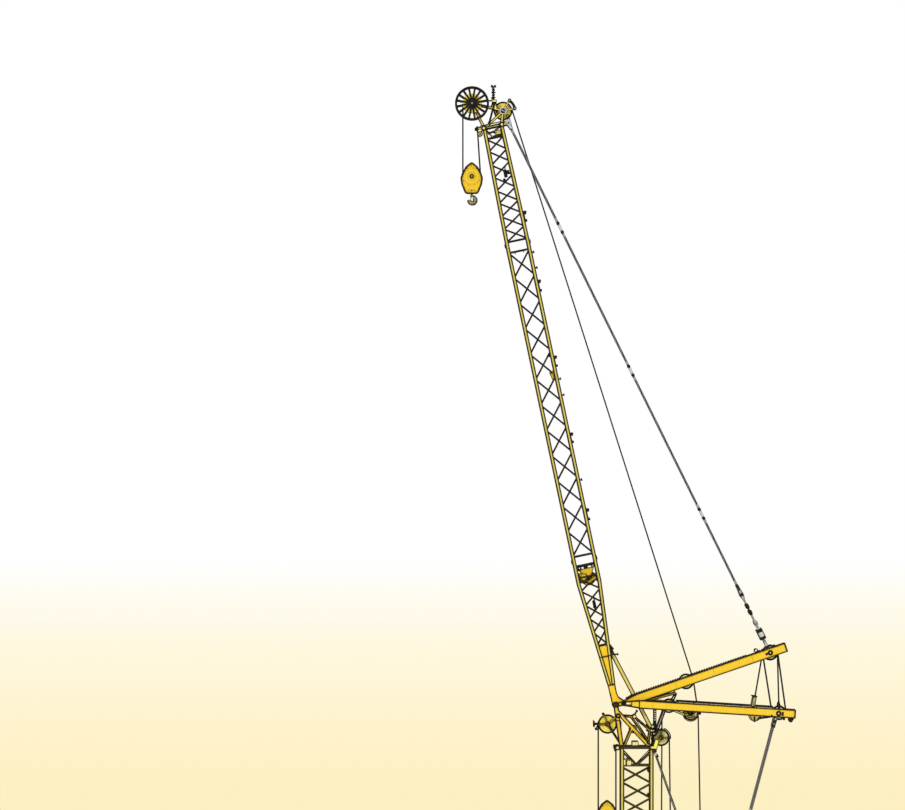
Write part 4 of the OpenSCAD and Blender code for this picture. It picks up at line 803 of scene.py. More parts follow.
outline = [(4.66, -0.10), (5.12, -0.10), (5.00, -0.30), (4.93, -0.385), (4.86, -0.385), (4.79, -0.30)]
parts = both([plate(outline, 0.10, 0.016)])
parts += [disc((4.895, 0, -0.13), 0.245, 0.05, 40, 0.012), disc((4.895, 0, -0.13), 0.07, 0.16),
          pin(4.895, -0.06, 0, 0.53, 0.045, 20)]
fit_lined("tip_guide", parts, link_yellow, *ON_LOWER)
parts = both([stick((4.99, -0.29), (5.56, -0.17), 0.10, 0.016, 10),
              stick((4.99, -0.25), (5.56, -0.13), 0.10, 0.016, 10),
              beam((4.88, -0.20), (4.90, -0.40), 0.118, 0.060, 0.020),
              stick((1.10, HALF + 0.03), (1.95, HALF + 0.03), y, 0.012, 8)])
fit("tip_guide_rods", parts + [pin(4.895, -0.375, 0, 0.12, 0.03)], machine_black, *ON_LOWER)

# %% [markdown]
# At the jib head the deflection sheave carries a guard behind it, so that a slack rope can't climb out: two
# arms swing out from the axle to black rollers, with a curved bar between them. The hub closes the axle with a
# pale flange, a dark cap and a keeper across it.

# %% Deflection sheave guard
AXLE_V, AXLE_U = 0.457, 22.440
guard = [(AXLE_V + 0.318, AXLE_U + 0.339), (AXLE_V + 0.448, AXLE_U + 0.001)]
arms = [beam((AXLE_V, AXLE_U), roller, 0.12, 0.070, 0.018) for roller in guard]
rim = arc(AXLE_V, AXLE_U, 0.500, -4, 51, 8) + arc(AXLE_V, AXLE_U, 0.400, 51, -4, 8)
dark = both([disc((v, 0.138, u), 0.070, 0.05, 24) for v, u in guard] + [plate(rim, 0.132, 0.03)])
dark += [pin(v, u, 0, 0.12, 0.045) for v, u in guard]
dark.append(ring((AXLE_V + 0.135, -0.075, AXLE_U - 0.215), 0.050, 0.014, around=20, section=8))
fit_lined("deflection_guard_arms", both(arms), link_yellow, *ON_JIB)
fit("deflection_guard", dark, machine_black, *ON_JIB)
parts = [disc((v, 0.168, u), 0.026, 0.012, 16) for v, u in guard] + [disc((AXLE_V, 0.300, AXLE_U), 0.132, 0.030, 40)]
parts.append(beam((AXLE_V - 0.055, AXLE_U + 0.045), (AXLE_V + 0.060, AXLE_U - 0.040), 0.330, 0.030, 0.010))
fit("deflection_hub", both(parts), fork_steel, *ON_JIB)
fit("deflection_hub_cap", both([disc((AXLE_V, 0.318, AXLE_U), 0.092, 0.012)]), machine_black, *ON_JIB)

# %% [markdown]
# The big running wheels at the jib head are cast: a black rim, sixteen black spokes that run out from a flat
# hub, and yellow webs between the spokes near the middle. The spokes are one flat bar, laid out round the hub.
# The webs are in the lighter yellow and are bright plates in front of the sheave, which sits in shade behind the
# spokes: painted light.

# %% Running wheel spokes
SPOKES = 16
wheel_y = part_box("running_wheels")[1][1] - 0.085
wheels = home["running_wheels"]
hub = JIB @ Vector((-0.613, 0, 22.950))
webs = both([plate(arc(hub.x, hub.z, 0.360, 0, 352.5, 47), wheel_y - 0.012, 0.012)])
spokes = [disc((hub.x, wheel_y, hub.z), 0.170, 0.05, 40)]
for turn in (math.radians((k + 0.5) * 360 / SPOKES) for k in range(SPOKES)):
    near, far = [(hub.x + out * math.cos(turn), hub.z + out * math.sin(turn)) for out in (0.16, 0.57)]
    spokes.append(beam(near, far, wheel_y, 0.046, 0.040, 0))
# Bright webs in front of the shaded sheave: painted light.
fit("wheel_webs", webs, plain_yellow, wheels)
fit("wheel_spokes", both(spokes), machine_black, wheels)
fit("wheel_centres", both([disc((hub.x, wheel_y + 0.125, hub.z), 0.030, 0.014, 20)]), link_steel, wheels)

# %% [markdown]
# Struts brace the two axles of the head against the last crossbar. Its ends show as big nuts with a ring round
# them, and below them sit a small service platform and the fixed end of the rope, held by a pair of ringed
# discs.

# %% Jib head struts, platform and rope end
y = 0.292
stay = [(0.12, 23.02), (0.215, 23.02), (0.30, 22.72), (0.25, 22.40), (0.20, 22.40), (0.21, 22.72)]
parts = [beam((0.262, 22.90), (-0.132, 22.115), y, 0.075, 0.02), stick((-0.02, 22.925), (0.20, 22.90), y, 0.020, 10),
         beam((-0.50, 22.065), (0.30, 22.075), y, 0.024, 0.02), beam((-0.45, 21.885), (0.30, 21.90), y, 0.03, 0.02),
         plate(stay, y * 0.2, 0.03), disc((AXLE_V, 0.285, AXLE_U), 0.06, 0.03),
         disc((-0.613, 0.515, 22.950), 0.085, 0.03, 24),
         rod((-0.13, 0.30, 22.13), (-0.13, 0.02, 22.13), 0.06, 4, 0.01)]
NUTS, NUT_U = (-0.3775, 0.3075), 21.950
for v in NUTS:
    parts += [ring((v, 0.556, NUT_U), 0.076, 0.020, around=24, section=8), pin(v, NUT_U, 0.515, 0.035, 0.07, 24)]
parts = both(parts) + [rod((-0.645, -0.055, 21.98), (-0.645, 0.055, 21.98), 0.084, 6, 0.012),
                       pin(-0.62, 21.98, 0, 0.09, 0.035)]
fit("jib_head_struts", parts, machine_black, *ON_JIB)
parts = [disc((v, 0.562, NUT_U), 0.062, 0.016, 24) for v in NUTS]
parts.append(beam((-0.32, 21.975), (0.25, 21.985), 0.575, 0.05, 0.010))
fit_lined("jib_head_nuts", both(parts), link_yellow, *ON_JIB)
boxes = both([slab(-5.372, 28.335, -5.195, 28.425, 0.31, 0.03, 0.004)])
fit_lined("light_junction_box", boxes, link_yellow, "luffing_jib")

parts = both([slab(-0.02, 21.62, 0.22, 21.78, 0.28, 0.02), beam((-0.14, 21.60), (-0.30, 21.87), 0.28, 0.05, 0.02),
              beam((-0.26, 21.72), (0.0, 21.78), 0.31, 0.05, 0.012)])
parts += [slab(-0.105, 21.585, 0.27, 21.615, 0, 0.30), slab(0.00, 21.62, 0.18, 21.80, 0, 0.16, 0.015)]
fit_lined("jib_head_platform", parts, link_yellow, *ON_JIB)
END_V, END_U = -0.554, 21.78
fit("rope_end_discs", both([disc((END_V, 0.06, END_U), 0.075, 0.01, 24)]), sheave_yellow, *ON_JIB)
parts = [ring((END_V, 0.06, END_U), 0.085, 0.022), beam((-0.50, 21.84), (-0.40, 21.93), 0.06, 0.05, 0.02),
         pin(END_V, END_U, 0.06, 0.03, 0.03), beam((-0.30, 21.80), (0.05, 21.70), 0.33, 0.035, 0.012),
         beam((0.02, 21.82), (0.25, 21.88), 0.33, 0.04, 0.012)]
fit("rope_end_rings", both(parts) + [pin(v, 21.60, 0, 0.49, 0.02, 12) for v in (-0.30, 0.24)], machine_black, *ON_JIB)

# %% [markdown]
# The light mast on the jib head is a short pole of stacked lamps, drawn as beads one over another, under a
# wide cap. It stands upright, not square to the leaning jib.

# %% Lamp beads on the jib head
lamp_foot = JIB @ Vector((0.180, 0, 22.84))

def above(x, y, z):
    return lamp_foot + Vector((x, y, z))

parts = [block(above(-0.10, -0.045, 0.535), above(0.10, 0.045, 0.600), 0.012)]
for k, r in enumerate((0.055, 0.075, 0.060, 0.082, 0.060)):
    parts.append(rod(above(0, 0, 0.06 + 0.088 * k), above(0, 0, 0.116 + 0.088 * k), r, 24, 0.014))
parts += [rod(above(x, 0, 0.57), above(x, 0, 0.635), 0.036, 16, 0.008) for x in (-0.06, 0.06)]
fit("lamp_beads", parts, machine_black, "luffing_jib")

# %% [markdown]
# A hook block is two thick cheek plates over one sheave. A black bead runs round the rim of each plate, bolted
# pads stand on it, a retaining ring holds the sheave pin, and a trunnion at the bottom carries the hook on a
# thrust nut with a spring latch across its mouth.

# %% Hook blocks
CHEEK = [(0.204, 0.353), (0.342, 0.093), (0.394, -0.074), (0.364, -0.297), (0.240, -0.600), (0.190, -0.643)]
PEAK = (0, 0.509)
RIM = [PEAK] + CHEEK + [(-x, z) for x, z in reversed(CHEEK)] + [PEAK]
PADS = ((0, 0.390, 0.016), (0.186, 0.303, 0.030), (-0.186, 0.303, 0.030), (0.355, 0.037, 0.030),
        (-0.355, 0.037, 0.030), (0, -0.539, 0.026))

def dress_block(name, at, body, hook_body):
    def on_plate(outline, share=1):
        return [(at.x + x * share, at.z + z * share) for x, z in outline]

    pads = [ring((at.x, 0.100, at.z), 0.060, 0.024, around=40)]
    for x, z, r in PADS:
        pads.append(disc((at.x + x, 0.085, at.z + z), r, 0.016, 20, 0.004))
        pads.append(rod((at.x + x, 0.09, at.z + z), (at.x + x, 0.106, at.z + z), r * 0.55, 6, 0.002))
    rim = on_plate(RIM, 0.985)
    pads += [stick(a, b, 0.082, 0.032, 8, lip=0) for a, b in zip(rim, rim[1:])]
    foot_strap = on_plate(((-0.13, -0.50), (-0.16, -0.63), (0.16, -0.63), (0.13, -0.50)))
    trim = [plate(foot_strap, 0.083, 0.012), plate(on_plate(arc(0, 0, 0.16, 0, 345, 24)), 0.0805, 0.007)]
    fit(name + "_pads", both(pads), machine_black, body)
    fit(name + "_trim", both(trim), crane_yellow, body)
    latch = both([beam((at.x, at.z - 0.675), (at.x - 0.05, at.z - 0.775), 0.058, 0.035, 0.01)])
    latch += [pin(at.x, at.z - 0.675, 0, 0.075, 0.028),
              rod((at.x, 0, at.z - 0.515), (at.x, 0, at.z - 0.485), 0.05, 6, 0.004)]
    fit(name + "_latch", latch, hook_iron, hook_body)
    bowl = Vector((at.x + 0.026, at.z - 0.899))
    edges = []
    for radius, start, end, r in ((0.168, 178, 440, 0.031), (0.046, 188, 430, 0.023)):
        bend = arc(bowl.x, bowl.y, radius, start, end, 22)
        edges += [stick(a, b, 0, r, 10, lip=0) for a, b in zip(bend, bend[1:])]
    edges.append(stick((bowl.x - 0.172, bowl.y + 0.006), (bowl.x - 0.046, bowl.y), 0, 0.020, 10, lip=0))
    edges.append(stick((at.x - 0.01, at.z - 0.66), (bowl.x - 0.062, bowl.y + 0.03), 0, 0.016, 10, lip=0))
    fit(name + "_hook_edges", edges, machine_black, hook_body)

def sheave_pin(node):
    """The sheave pin of a hook block, which hangs below the peak of its plates."""
    low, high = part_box(node)
    return Vector(((low[0] + high[0]) / 2, 0, high[2] - PEAK[1]))

jib_block_at, boom_block_at = sheave_pin("jib_hook_block"), sheave_pin("boom_hook_block")
dress_block("jib_block", jib_block_at, "jib_hook_block", "jib_hook")
dress_block("boom_block", boom_block_at, "boom_hook_block", "boom_hook")

# %% [markdown]
# Every chord of the lattices carries a thin black line along its two sides, like the bead on the plated parts.
# The jib's chords bend where the foot and head sections taper, so each line follows the chord's stops.

# %% Chord lining
def chord_lining(stops, y, off, r=0.022):
    """Lines on both sides of a chord that passes through the stops, each (x, z), at a distance off its middle."""
    return [stick((a[0] + shift, a[1]), (b[0] + shift, b[1]), y, r, 8, lip=0)
            for shift in (-off, off) for a, b in zip(stops, stops[1:])]

FRONT_CHORD = [(-0.078, 0.79), (-0.42, FOOT_END), (-0.42, HEAD_START), (-0.355, 21.90)]
REAR_CHORD = [(0.078, 0.79), (0.36, FOOT_END), (0.36, HEAD_START), (0.295, 21.90)]
lines = chord_lining(FRONT_CHORD, JIB_SIDE, 0.054) + chord_lining(REAR_CHORD, JIB_SIDE, 0.054)
fit("jib_chord_lining", both(lines), machine_black, *ON_JIB)
lines = [line for x in (-BOOM_X, BOOM_X) for line in chord_lining([(x, 0.10), (x, 4.32)], BOOM_SIDE, 0.060)]
fit("boom_chord_lining", both(lines), machine_black, "rig")

# %% [markdown]
# The diagonals and level bars of the side lattices are lined the same way, a bead on each edge, so each reads
# as a tube and not as a wire from far off. The two sides zigzag the opposite way, so each side is made by
# itself and not mirrored.

# %% Bracing lining
def at_height(stops, z):
    for (xa, za), (xb, zb) in zip(stops, stops[1:]):
        if z <= zb:
            break
    return xa + (xb - xa) * (z - za) / (zb - za)

def beside(a, b, off, r, sides=6):
    """Two rods along a bar that lies in an upright plane, one on each of its edges."""
    aim = (b - a).normalized()
    aside = Vector((aim.z, 0, -aim.x)) * off
    return [rod(a + aside, b + aside, r, sides, 0), rod(a - aside, b - aside, r, sides, 0)]

def brace_lining(front, rear, low, high, bays, hand, y, off, r, levels=True):
    """Beads along both edges of a zigzag of braces between two chords, and of its level bars."""
    def spot(chord, share):
        ends = at_height(chord, low), at_height(chord, high)
        return Vector((ends[0] + (ends[1] - ends[0]) * share, y, low + (high - low) * share))

    bars = []
    for k in range(bays):
        start, end = (front, rear) if (k + hand) % 2 == 0 else (rear, front)
        bars.append((spot(start, k / bays), spot(end, (k + 1) / bays)))
    if levels:
        bars += [(spot(front, share), spot(rear, share)) for share in (0, 1)]
    return [line for a, b in bars for line in beside(a, b, off, r)]

parts = []
for y, hand in ((-JIB_SIDE, 1), (JIB_SIDE, 0)):
    for low, high, bays in ((2.266, 4.886, 5), (5.682, 17.228, 12), (17.63, 21.54, 8)):
        parts += brace_lining(FRONT_CHORD, REAR_CHORD, low, high, bays, hand, y, 0.018, 0.017)
fit("jib_bracing_lining", parts, machine_black, *ON_JIB)
parts = []
for y, hand in ((-BOOM_SIDE, 0), (BOOM_SIDE, 1)):
    front, rear = [[(x, 0), (x, 5)] for x in (-BOOM_X, BOOM_X)]
    parts += brace_lining(front, rear, 0.09, 3.654, 6, hand, y, 0.026, 0.016, levels=False)
    for x in (-BOOM_X, BOOM_X):
        parts += beside(Vector((x * 0.93, y, 4.25)), Vector((0, y, 3.714)), 0.028, 0.016)
fit("boom_bracing_lining", parts, machine_black, "rig")

# %% [markdown]
# Rope rollers and lugs stand on the jib's rear chords, in pairs about three metres apart, and flanged joints
# with dark rings part its sections. Lamps, a junction box and a small switch box hang inside the lattice.

# %% Jib fittings
y = JIB_SIDE
parts = []
for low, high in ((6.95, 7.30), (9.88, 10.18), (12.77, 13.10), (15.63, 15.98), (18.28, 18.59)):
    parts += [slab(0.395, high - 0.075, 0.52, high + 0.055, y, 0.03, 0.012),
              slab(0.395, low - 0.045, 0.50, low + 0.05, y, 0.028, 0.012),
              stick((0.43, low), (0.43, high), y, 0.018, 10), disc((0.50, y, high + 0.01), 0.042, 0.09, 20)]
for u in (8.44, 11.66, 12.27, 16.49, 17.08):
    parts += [slab(0.395, u - 0.026, 0.515, u + 0.026, y, 0.02, 0.004),
              slab(0.480, u - 0.050, 0.515, u + 0.050, y, 0.024, 0.005)]
parts += [stick((v - 0.075, u), (v + 0.075, u), y, 0.036) for u in (17.40, 17.60) for v in (-0.42, 0.36)]
parts = both(parts) + [stick((v, 17.25), (v, 17.13), -JIB_SIDE, 0.018, 8) for v in (-0.19, 0.13)]
fit("jib_rope_rollers", parts, machine_black, *ON_JIB)

parts = [slab(0.00, 20.00, 0.13, 20.30, 0, 0.12, 0.02), slab(0.13, 20.10, 0.23, 20.26, 0, 0.08, 0.02),
         slab(-0.07, 19.80, 0.03, 19.98, 0, 0.10, 0.02), pin(0.06, 20.2, 0, 0.47, 0.016, 10),
         stick((0.08, 20.30), (0.12, 20.44), 0, 0.02, 8)]
parts += [slab(-0.06, 3.66, 0.06, 3.96, 0, 0.11, 0.02), stick((-0.02, 3.60), (0.04, 4.12), 0, 0.026, 10),
          disc((-0.01, 0, 3.72), 0.062, 0.26, 20), pin(0.0, 3.86, 0, 0.46, 0.016, 10)]
parts += [slab(0.225, 13.14, 0.30, 13.28, 0, 0.10, 0.012), pin(0.25, 13.2, 0, 0.46, 0.016, 10)]
fit("jib_lamps_inside", parts, machine_black, *ON_JIB)
switch = plate([(0.135, 12.58), (0.30, 12.62), (0.29, 12.34), (0.20, 12.26)], 0, 0.16)
fit_lined("jib_switch_box", [switch, pin(0.22, 12.55, 0, 0.47, 0.018, 12)], crane_yellow, *ON_JIB)

# %% [markdown]
# Where the foot section meets the middle one, a guide sheave turns the hoist rope past the taper. It hangs in
# a bracket of its own: two cheek plates, and four short arms that reach out to the chords.

# %% Foot sheave bracket
FOOT_AXLE = (-0.03, 4.825)
parts = [plate([(-0.33, 5.19), (0.27, 5.19), (0.06, 4.78), (-0.12, 4.78)], 0.124, 0.014),
         plate([(-0.345, 5.05), (-0.05, 4.98), (-0.10, 4.74), (-0.31, 4.66)], 0.186, 0.012),
         beam((-0.19, 4.60), (0.27, 4.80), 0.1984, 0.115, 0.012)]
for end, width in (((-0.40, 4.70), 0.075), ((-0.385, 4.90), 0.06), ((0.31, 4.66), 0.07), ((0.30, 4.93), 0.06)):
    parts.append(beam(FOOT_AXLE, end, 0.14012, width, 0.012))
fit_lined("foot_sheave_bracket", both(parts), crane_yellow, *ON_JIB)
parts = [disc((FOOT_AXLE[0], 0.155, FOOT_AXLE[1]), 0.058, 0.02, 24),
         beam((-0.28, 4.67), (0.04, 4.87), 0.212, 0.050, 0.014),
         slab(-0.37, 5.255, 0.33, 5.30, 0.15, 0.03), slab(-0.34, 5.13, -0.24, 5.20, 0.15, 0.03, 0.012)]
parts += [pin(v, 5.215, 0.145, 0.025, 0.034, 12) for v in (-0.31, -0.22, -0.05, 0.02, 0.20, 0.28)]
fit("foot_sheave_bolts", both(parts), machine_black, *ON_JIB)

# %% [markdown]
# At the jib's foot a bolted collar joins the box legs to the lattice, heavy nuts close the pivot pins, and a
# clamp with a small fixed rod holds the top of each backstop.

# %% Jib foot
y = 0.30
parts = [slab(-w, u - 0.016, w, u + 0.016, JIB_SIDE, 0.062, 0.004) for u, w in ((COLLAR, 0.145), (SEAM, 0.205))]
parts += [beam((0.16, 2.24), (0.275, 1.93), y, 0.085, 0.05), beam((0.13, 2.13), (0.20, 2.30), y, 0.05, 0.03),
          beam((0.17, 2.32), (0.33, 2.02), y, 0.11, 0.05), stick((0.20, 1.87), (0.462, 1.817), y, 0.022),
          stick((0.462, 1.78), (0.462, 1.85), y, 0.03), pin(0.16, 2.235, 0.36, 0.09, 0.03, 12)]
fit("jib_foot_clamps", both(parts), machine_black, *ON_JIB)
at = Vector((pivot.x, 0.652, pivot.z))
fit("pivot_rings", both([ring(at, 0.080, 0.020), disc(at, 0.034, 0.04, 6)]), machine_black, "rig")
fit("pivot_nuts", both([disc(at, 0.080, 0.022, 6, 0.006)]), hook_brown, "rig")

# %% [markdown]
# The two backstops are tubes that stop the jib from falling over backwards. They get a line along each edge
# and a short yellow sleeve at the head. Both are placed from the tube's two ends.

# %% Backstop lining
top, foot = JIB @ Vector((0.262, 0.23, 1.910)), pivot + Vector((1.293, 0.23, -0.821))
aim = (foot - top).normalized()
stops = home["jib_backstops"]
fit("backstop_lining", both(beside(top - aim * 0.17, foot - aim * 0.02, 0.056, 0.027, 8)), machine_black, stops)
# The head sleeve shares the backstops' lighter yellow: painted light.
fit("backstop_heads", both([rod(top - aim * 0.20, top + aim * 0.12, 0.046, 20, 0.004)]), stay_yellow, stops)

# %% [markdown]
# The lower mast hangs on the boom head by a forked root: two dark straps with a pale gap between them. The
# upper mast's root carries a short link and its pin.

# %% Mast roots
y = 0.6645
parts = [beam((0.03, s * 0.072), (0.575, s * 0.118), y, 0.038, 0.008, 0.002) for s in (-1, 1)]
parts += [ring((0, y, 0), 0.082, 0.016)] + [slab(x0, z0, x1, z1, y, half, 0.002) for x0, z0, x1, z1, half in (
    (0.06, -0.09, 0.115, 0.09, 0.006), (0.565, -0.14, 0.600, 0.14, 0.006), (0.13, -0.078, 0.31, -0.036, 0.008),
    (0.272, -0.115, 0.308, 0.085, 0.008))]
fit("lower_root_straps", both(parts), machine_black, *ON_LOWER)
fit("lower_root_gaps", both([slab(0.080, -0.028, 0.235, 0.045, 0.668, 0.006, 0.002)]), cast_nylon, *ON_LOWER)
parts = [beam((0.16, 0.115), (0.46, 0.195), 0.425, 0.05, 0.012), disc((0.19, 0.43, 0.125), 0.042, 0.03, 20),
         pin(0.14, 0.10, UPPER_SIDE, 0.05, 0.03, 12)]
fit("upper_root_links", both(parts), machine_black, *ON_UPPER)

# %% [markdown]
# Round the boom head stand the small things that keep a rope where it should be. At the front sheaves an arm
# rises to a keeper bar, and a dark frame with a roller stands ahead of the rim.

# %% Front sheave guards
FRONT, REAR = Vector((-1.077, 0, 5.238)), Vector((0.910, 0, 4.738))
y = 0.262
parts = [beam((FRONT.x, FRONT.z), (-1.233, 5.613), y, 0.055, 0.02),
         beam((-1.02, 5.17), (-0.60, 4.52), 0.282, 0.03, 0.012)]
fit_lined("front_guard_arms", both(parts), crane_yellow, "rig")
parts = both([slab(-1.285, 5.57, -1.185, 5.655, y, 0.03, 0.012), ring((FRONT.x, 0.292, FRONT.z), 0.085, 0.018),
              disc((FRONT.x, 0.292, FRONT.z), 0.03, 0.02, 16), stick((-1.501, 5.07), (-1.44, 5.19), 0.18, 0.022, 10)])
parts += [pin(-1.235, 5.625, 0, 0.26, 0.03), pin(-1.501, 5.056, 0, 0.20, 0.052, 20),
          slab(-1.60, 5.255, -1.42, 5.285, 0, 0.24),
          slab(-1.62, 5.14, -1.590, 5.39, 0, 0.26, 0.008), slab(-1.445, 5.17, -1.42, 5.34, 0, 0.24, 0.008)]
fit("front_guard_bars", parts, machine_black, "rig")

# %% [markdown]
# The rear sheaves have the same kind of guard with two arms and a curved bar, and two pairs of struts run from
# the mast above down to the head. Each strut is a pale core between two dark edges.

# %% Rear sheave guards and stay struts
y = 0.15
parts = [beam((REAR.x, REAR.z), end, y, 0.060, 0.016) for end in ((1.175, 4.735), (0.915, 5.03))]
fit_lined("rear_guard_arms", both(parts), crane_yellow, "rig")
rim = arc(REAR.x, REAR.z, 0.372, -8, 74, 10) + arc(REAR.x, REAR.z, 0.333, 74, -8, 10)
parts = both([plate(rim, y, 0.03), ring((REAR.x, 0.17, REAR.z), 0.075, 0.018),
              disc((1.19, y, 4.735), 0.055, 0.05, 20), disc((0.93, y, 5.05), 0.045, 0.05, 20),
              disc((REAR.x, 0.17, REAR.z), 0.028, 0.03, 12)])
fit("rear_guard_bars", parts + [pin(1.19, 4.735, 0, y, 0.03), pin(0.93, 5.05, 0, y, 0.03)], machine_black, "rig")
y = 0.40
parts = both([stick((1.065, 5.735), (0.815, 5.06), y, 0.021), stick((0.975, 5.755), (0.725, 5.085), y, 0.021),
              slab(0.72, 5.03, 0.83, 5.10, y, 0.03, 0.01), stick((0.775, 5.06), (0.70, 4.80), y, 0.026)])
fit("stay_struts", parts + [pin(0.775, 5.06, 0, y, 0.026, 12)], machine_black, "rig")
fit("stay_strut_cores", both([beam((1.02, 5.73), (0.77, 5.09), 0.408, 0.040, 0.034)]), link_steel, "rig")

# %% [markdown]
# The boom head has a small service winch of its own, which pulls the first rope through the sheaves when the
# crane is rigged. It is a dark cluster of gearbox, motor and hoses, with a few pale caps and yellow guards.

# %% Service winch
y = 0.20
parts = [rod((0.665, y, 5.31), (0.665, y, 5.10), 0.045, 16, 0.004, r2=0.11),
         slab(0.50, 4.97, 0.62, 5.16, y, 0.05, 0.02), slab(0.54, 4.60, 0.63, 4.78, y, 0.06, 0.02),
         stick((0.47, 5.22), (0.62, 5.05), y, 0.032),
         stick((0.38, 5.20), (0.62, 5.20), y, 0.022), stick((0.36, 5.02), (0.62, 4.86), y, 0.030),
         disc((0.40, y, 5.20), 0.055, 0.07, 20), disc((0.585, y, 4.85), 0.072, 0.08, 24),
         stick((0.72, 5.14), (0.80, 4.92), y, 0.024)]
parts = both(parts) + [pin(0.56, 4.70, 0, 0.50, 0.03), pin(0.43, 5.19, 0, 0.48, 0.022, 12)]
fit("head_winch_dress", parts, machine_black, "rig")
y = 0.27
parts = [disc((0.62, y, 5.00), 0.038, 0.03, 20), disc((0.55, y, 4.88), 0.026, 0.03, 16),
         slab(0.46, 5.085, 0.56, 5.125, y, 0.02), disc((0.70, y, 4.86), 0.028, 0.03, 16)]
fit("head_winch_caps", both(parts), link_steel, "rig")
y = 0.32
GUARDS = (0.594, 5.148, 0.045), (0.553, 5.00, 0.040), (0.646, 4.89, 0.035)
parts = [disc((x, y, z), r, 0.02, 16) for x, z, r in GUARDS]
fit("head_winch_guards", both(parts + [beam((0.36, 5.11), (0.47, 5.01), y, 0.035, 0.014)]), link_yellow, "rig")

# %% [markdown]
# A short ladder stands over the winch, where the mast rests in transport. The rear pendants start below it on
# big pins, each with a ring and a brown nut.

# %% Ladder of the mast rest and pins of the rear pendants
y = 0.13
parts = [stick((x, 5.20), (x, 5.80), y, 0.018, 10) for x in (0.632, 0.722)]
parts += [slab(0.632, 5.26 + 0.078 * k, 0.722, 5.286 + 0.078 * k, y, 0.012, 0.004) for k in range(7)]
parts.append(plate([(0.62, 5.34), (0.72, 5.34), (0.80, 4.90), (0.60, 4.86), (0.56, 5.10)], y, 0.03))
parts += [ring((0.650, 0.738, 4.272), 0.066, 0.018), disc((0.655, REAR_PENDANT, 4.272), 0.03, 0.20, 6),
          stick((0.735, 4.095), (0.775, 4.02), REAR_PENDANT, 0.058, 16)]
fit("rest_ladder", both(parts), machine_black, "rig")
fit("rear_pendant_nuts", both([disc((0.650, 0.743, 4.272), 0.056, 0.02, 24)]), hook_brown, "rig")

# %% [markdown]
# The boom head is climbed for greasing, so it has steps, and its corners show the nuts of the main pins. Boxes
# for lamps and sensors sit on the crossbar and on the front face, and thin cable runs cross the open middle.

# %% Steps, boxes and nuts of the boom head
y = BOOM_SIDE
parts = [slab(-0.785, 5.372, -0.60, 5.402, y, 0.07), slab(-0.596, 5.06, -0.566, 5.36, y, 0.035, 0.008),
         ring((-0.717, y + 0.105, 4.376), 0.080, 0.020), stick((-0.80, 4.42), (-0.80, 4.24), y, 0.036),
         slab(-0.86, 4.32, -0.79, 4.46, y, 0.05, 0.012), ring((0.528, y + 0.075, 4.388), 0.072, 0.018),
         slab(0.40, 3.46, 0.49, 3.59, y, 0.05, 0.012), slab(0.40, 2.56, 0.49, 2.66, y, 0.05, 0.012),
         ring((-0.09, 0.30, 5.532), 0.052, 0.015), stick((-0.085, 5.57), (0.01, 5.72), 0.50, 0.018, 8),
         disc((0.015, 0.50, 5.725), 0.036, 0.04, 12), ring((-0.085, 0.50, 5.53), 0.062, 0.020)]
fit("boom_head_steps", both(parts), machine_black, "rig")
fit("boom_head_ball", both([disc((-0.085, 0.50, 5.53), 0.058, 0.03, 24)]), link_yellow, "rig")
parts = [disc((-0.717, y + 0.10, 4.376), 0.066, 0.016, 24), disc((0.528, y + 0.07, 4.388), 0.058, 0.016, 24),
         slab(-0.18, 4.452, 0.06, 4.605, 0.51, 0.11, 0.01)]
fit_lined("boom_head_boxes", both(parts), link_yellow, "rig")
parts = [slab(-0.497, 3.72, -0.405, 3.95, y, 0.045, 0.01), slab(-0.375, 3.715, -0.20, 3.915, y, 0.045, 0.01),
         slab(-0.375, 3.93, -0.235, 3.965, y, 0.05)]
fit_lined("panel_boxes", both(parts), link_yellow, "rig")
parts = both([disc((-0.137, 0.40, 5.056), 0.145, 0.05, 40, 0.01)]) + [pin(-0.137, 5.056, 0, 0.56, 0.03)]
fit_lined("head_guide_discs", parts, crane_yellow, "rig")
y = 0.43
parts = [beam((-0.05, 5.46), (0.48, 5.06), y, 0.03, 0.014), beam((-0.02, 5.40), (0.40, 4.72), y, 0.026, 0.014),
         pin(-0.093, 5.52, 0.36, 0.08, 0.03, 12)]
fit("head_cable_runs", both(parts), machine_black, "rig")

# %% [markdown]
# The last length of each jib pendant is a chain of forged links instead of rope, and every join of two lengths
# shows two dark pins with pale strap plates between. The links are turned shapes, so each is a row of cones
# whose stops are given as a distance before the mast's lug and a radius.

# %% Pendant links
across = Vector((run.z, 0, -run.x))

def before(distance, aside=0.0):
    """A point on the pendant at +Y, some way before the lug and a little off the middle."""
    return lug - run * distance + across * aside + Vector((0, UPPER_SIDE, 0))

def turned(*stops):
    return [rod(before(da), before(db), ra, 20, 0, r2=rb) for (da, ra), (db, rb) in zip(stops, stops[1:])]

pins, links = [], []
for share in joins[1:5]:
    for k in (-1, 1):
        end = fork + run * (reach * share + 0.18 * k)
        pins += [disc((end.x, UPPER_SIDE, end.z), 0.060, 0.15, 20), disc((end.x, UPPER_SIDE, end.z), 0.036, 0.17, 6)]
pins += turned((2.52, 0.036), (2.48, 0.062), (2.33, 0.062), (2.30, 0.036)) + turned((2.21, 0.070), (2.11, 0.070))
pins += turned((1.89, 0.022), (1.80, 0.024))
pins += turned((1.80, 0.030), (1.74, 0.072), (1.62, 0.074), (1.56, 0.034), (1.54, 0.034), (1.48, 0.074),
               (1.36, 0.072), (1.30, 0.028), (1.18, 0.020))
pins += turned((0.73, 0.100), (0.60, 0.100)) + turned((0.42, 0.100), (0.31, 0.100))
pins += [disc(before(0.95), 0.030, 0.13, 16), disc(before(0), 0.052, 0.14, 20)]
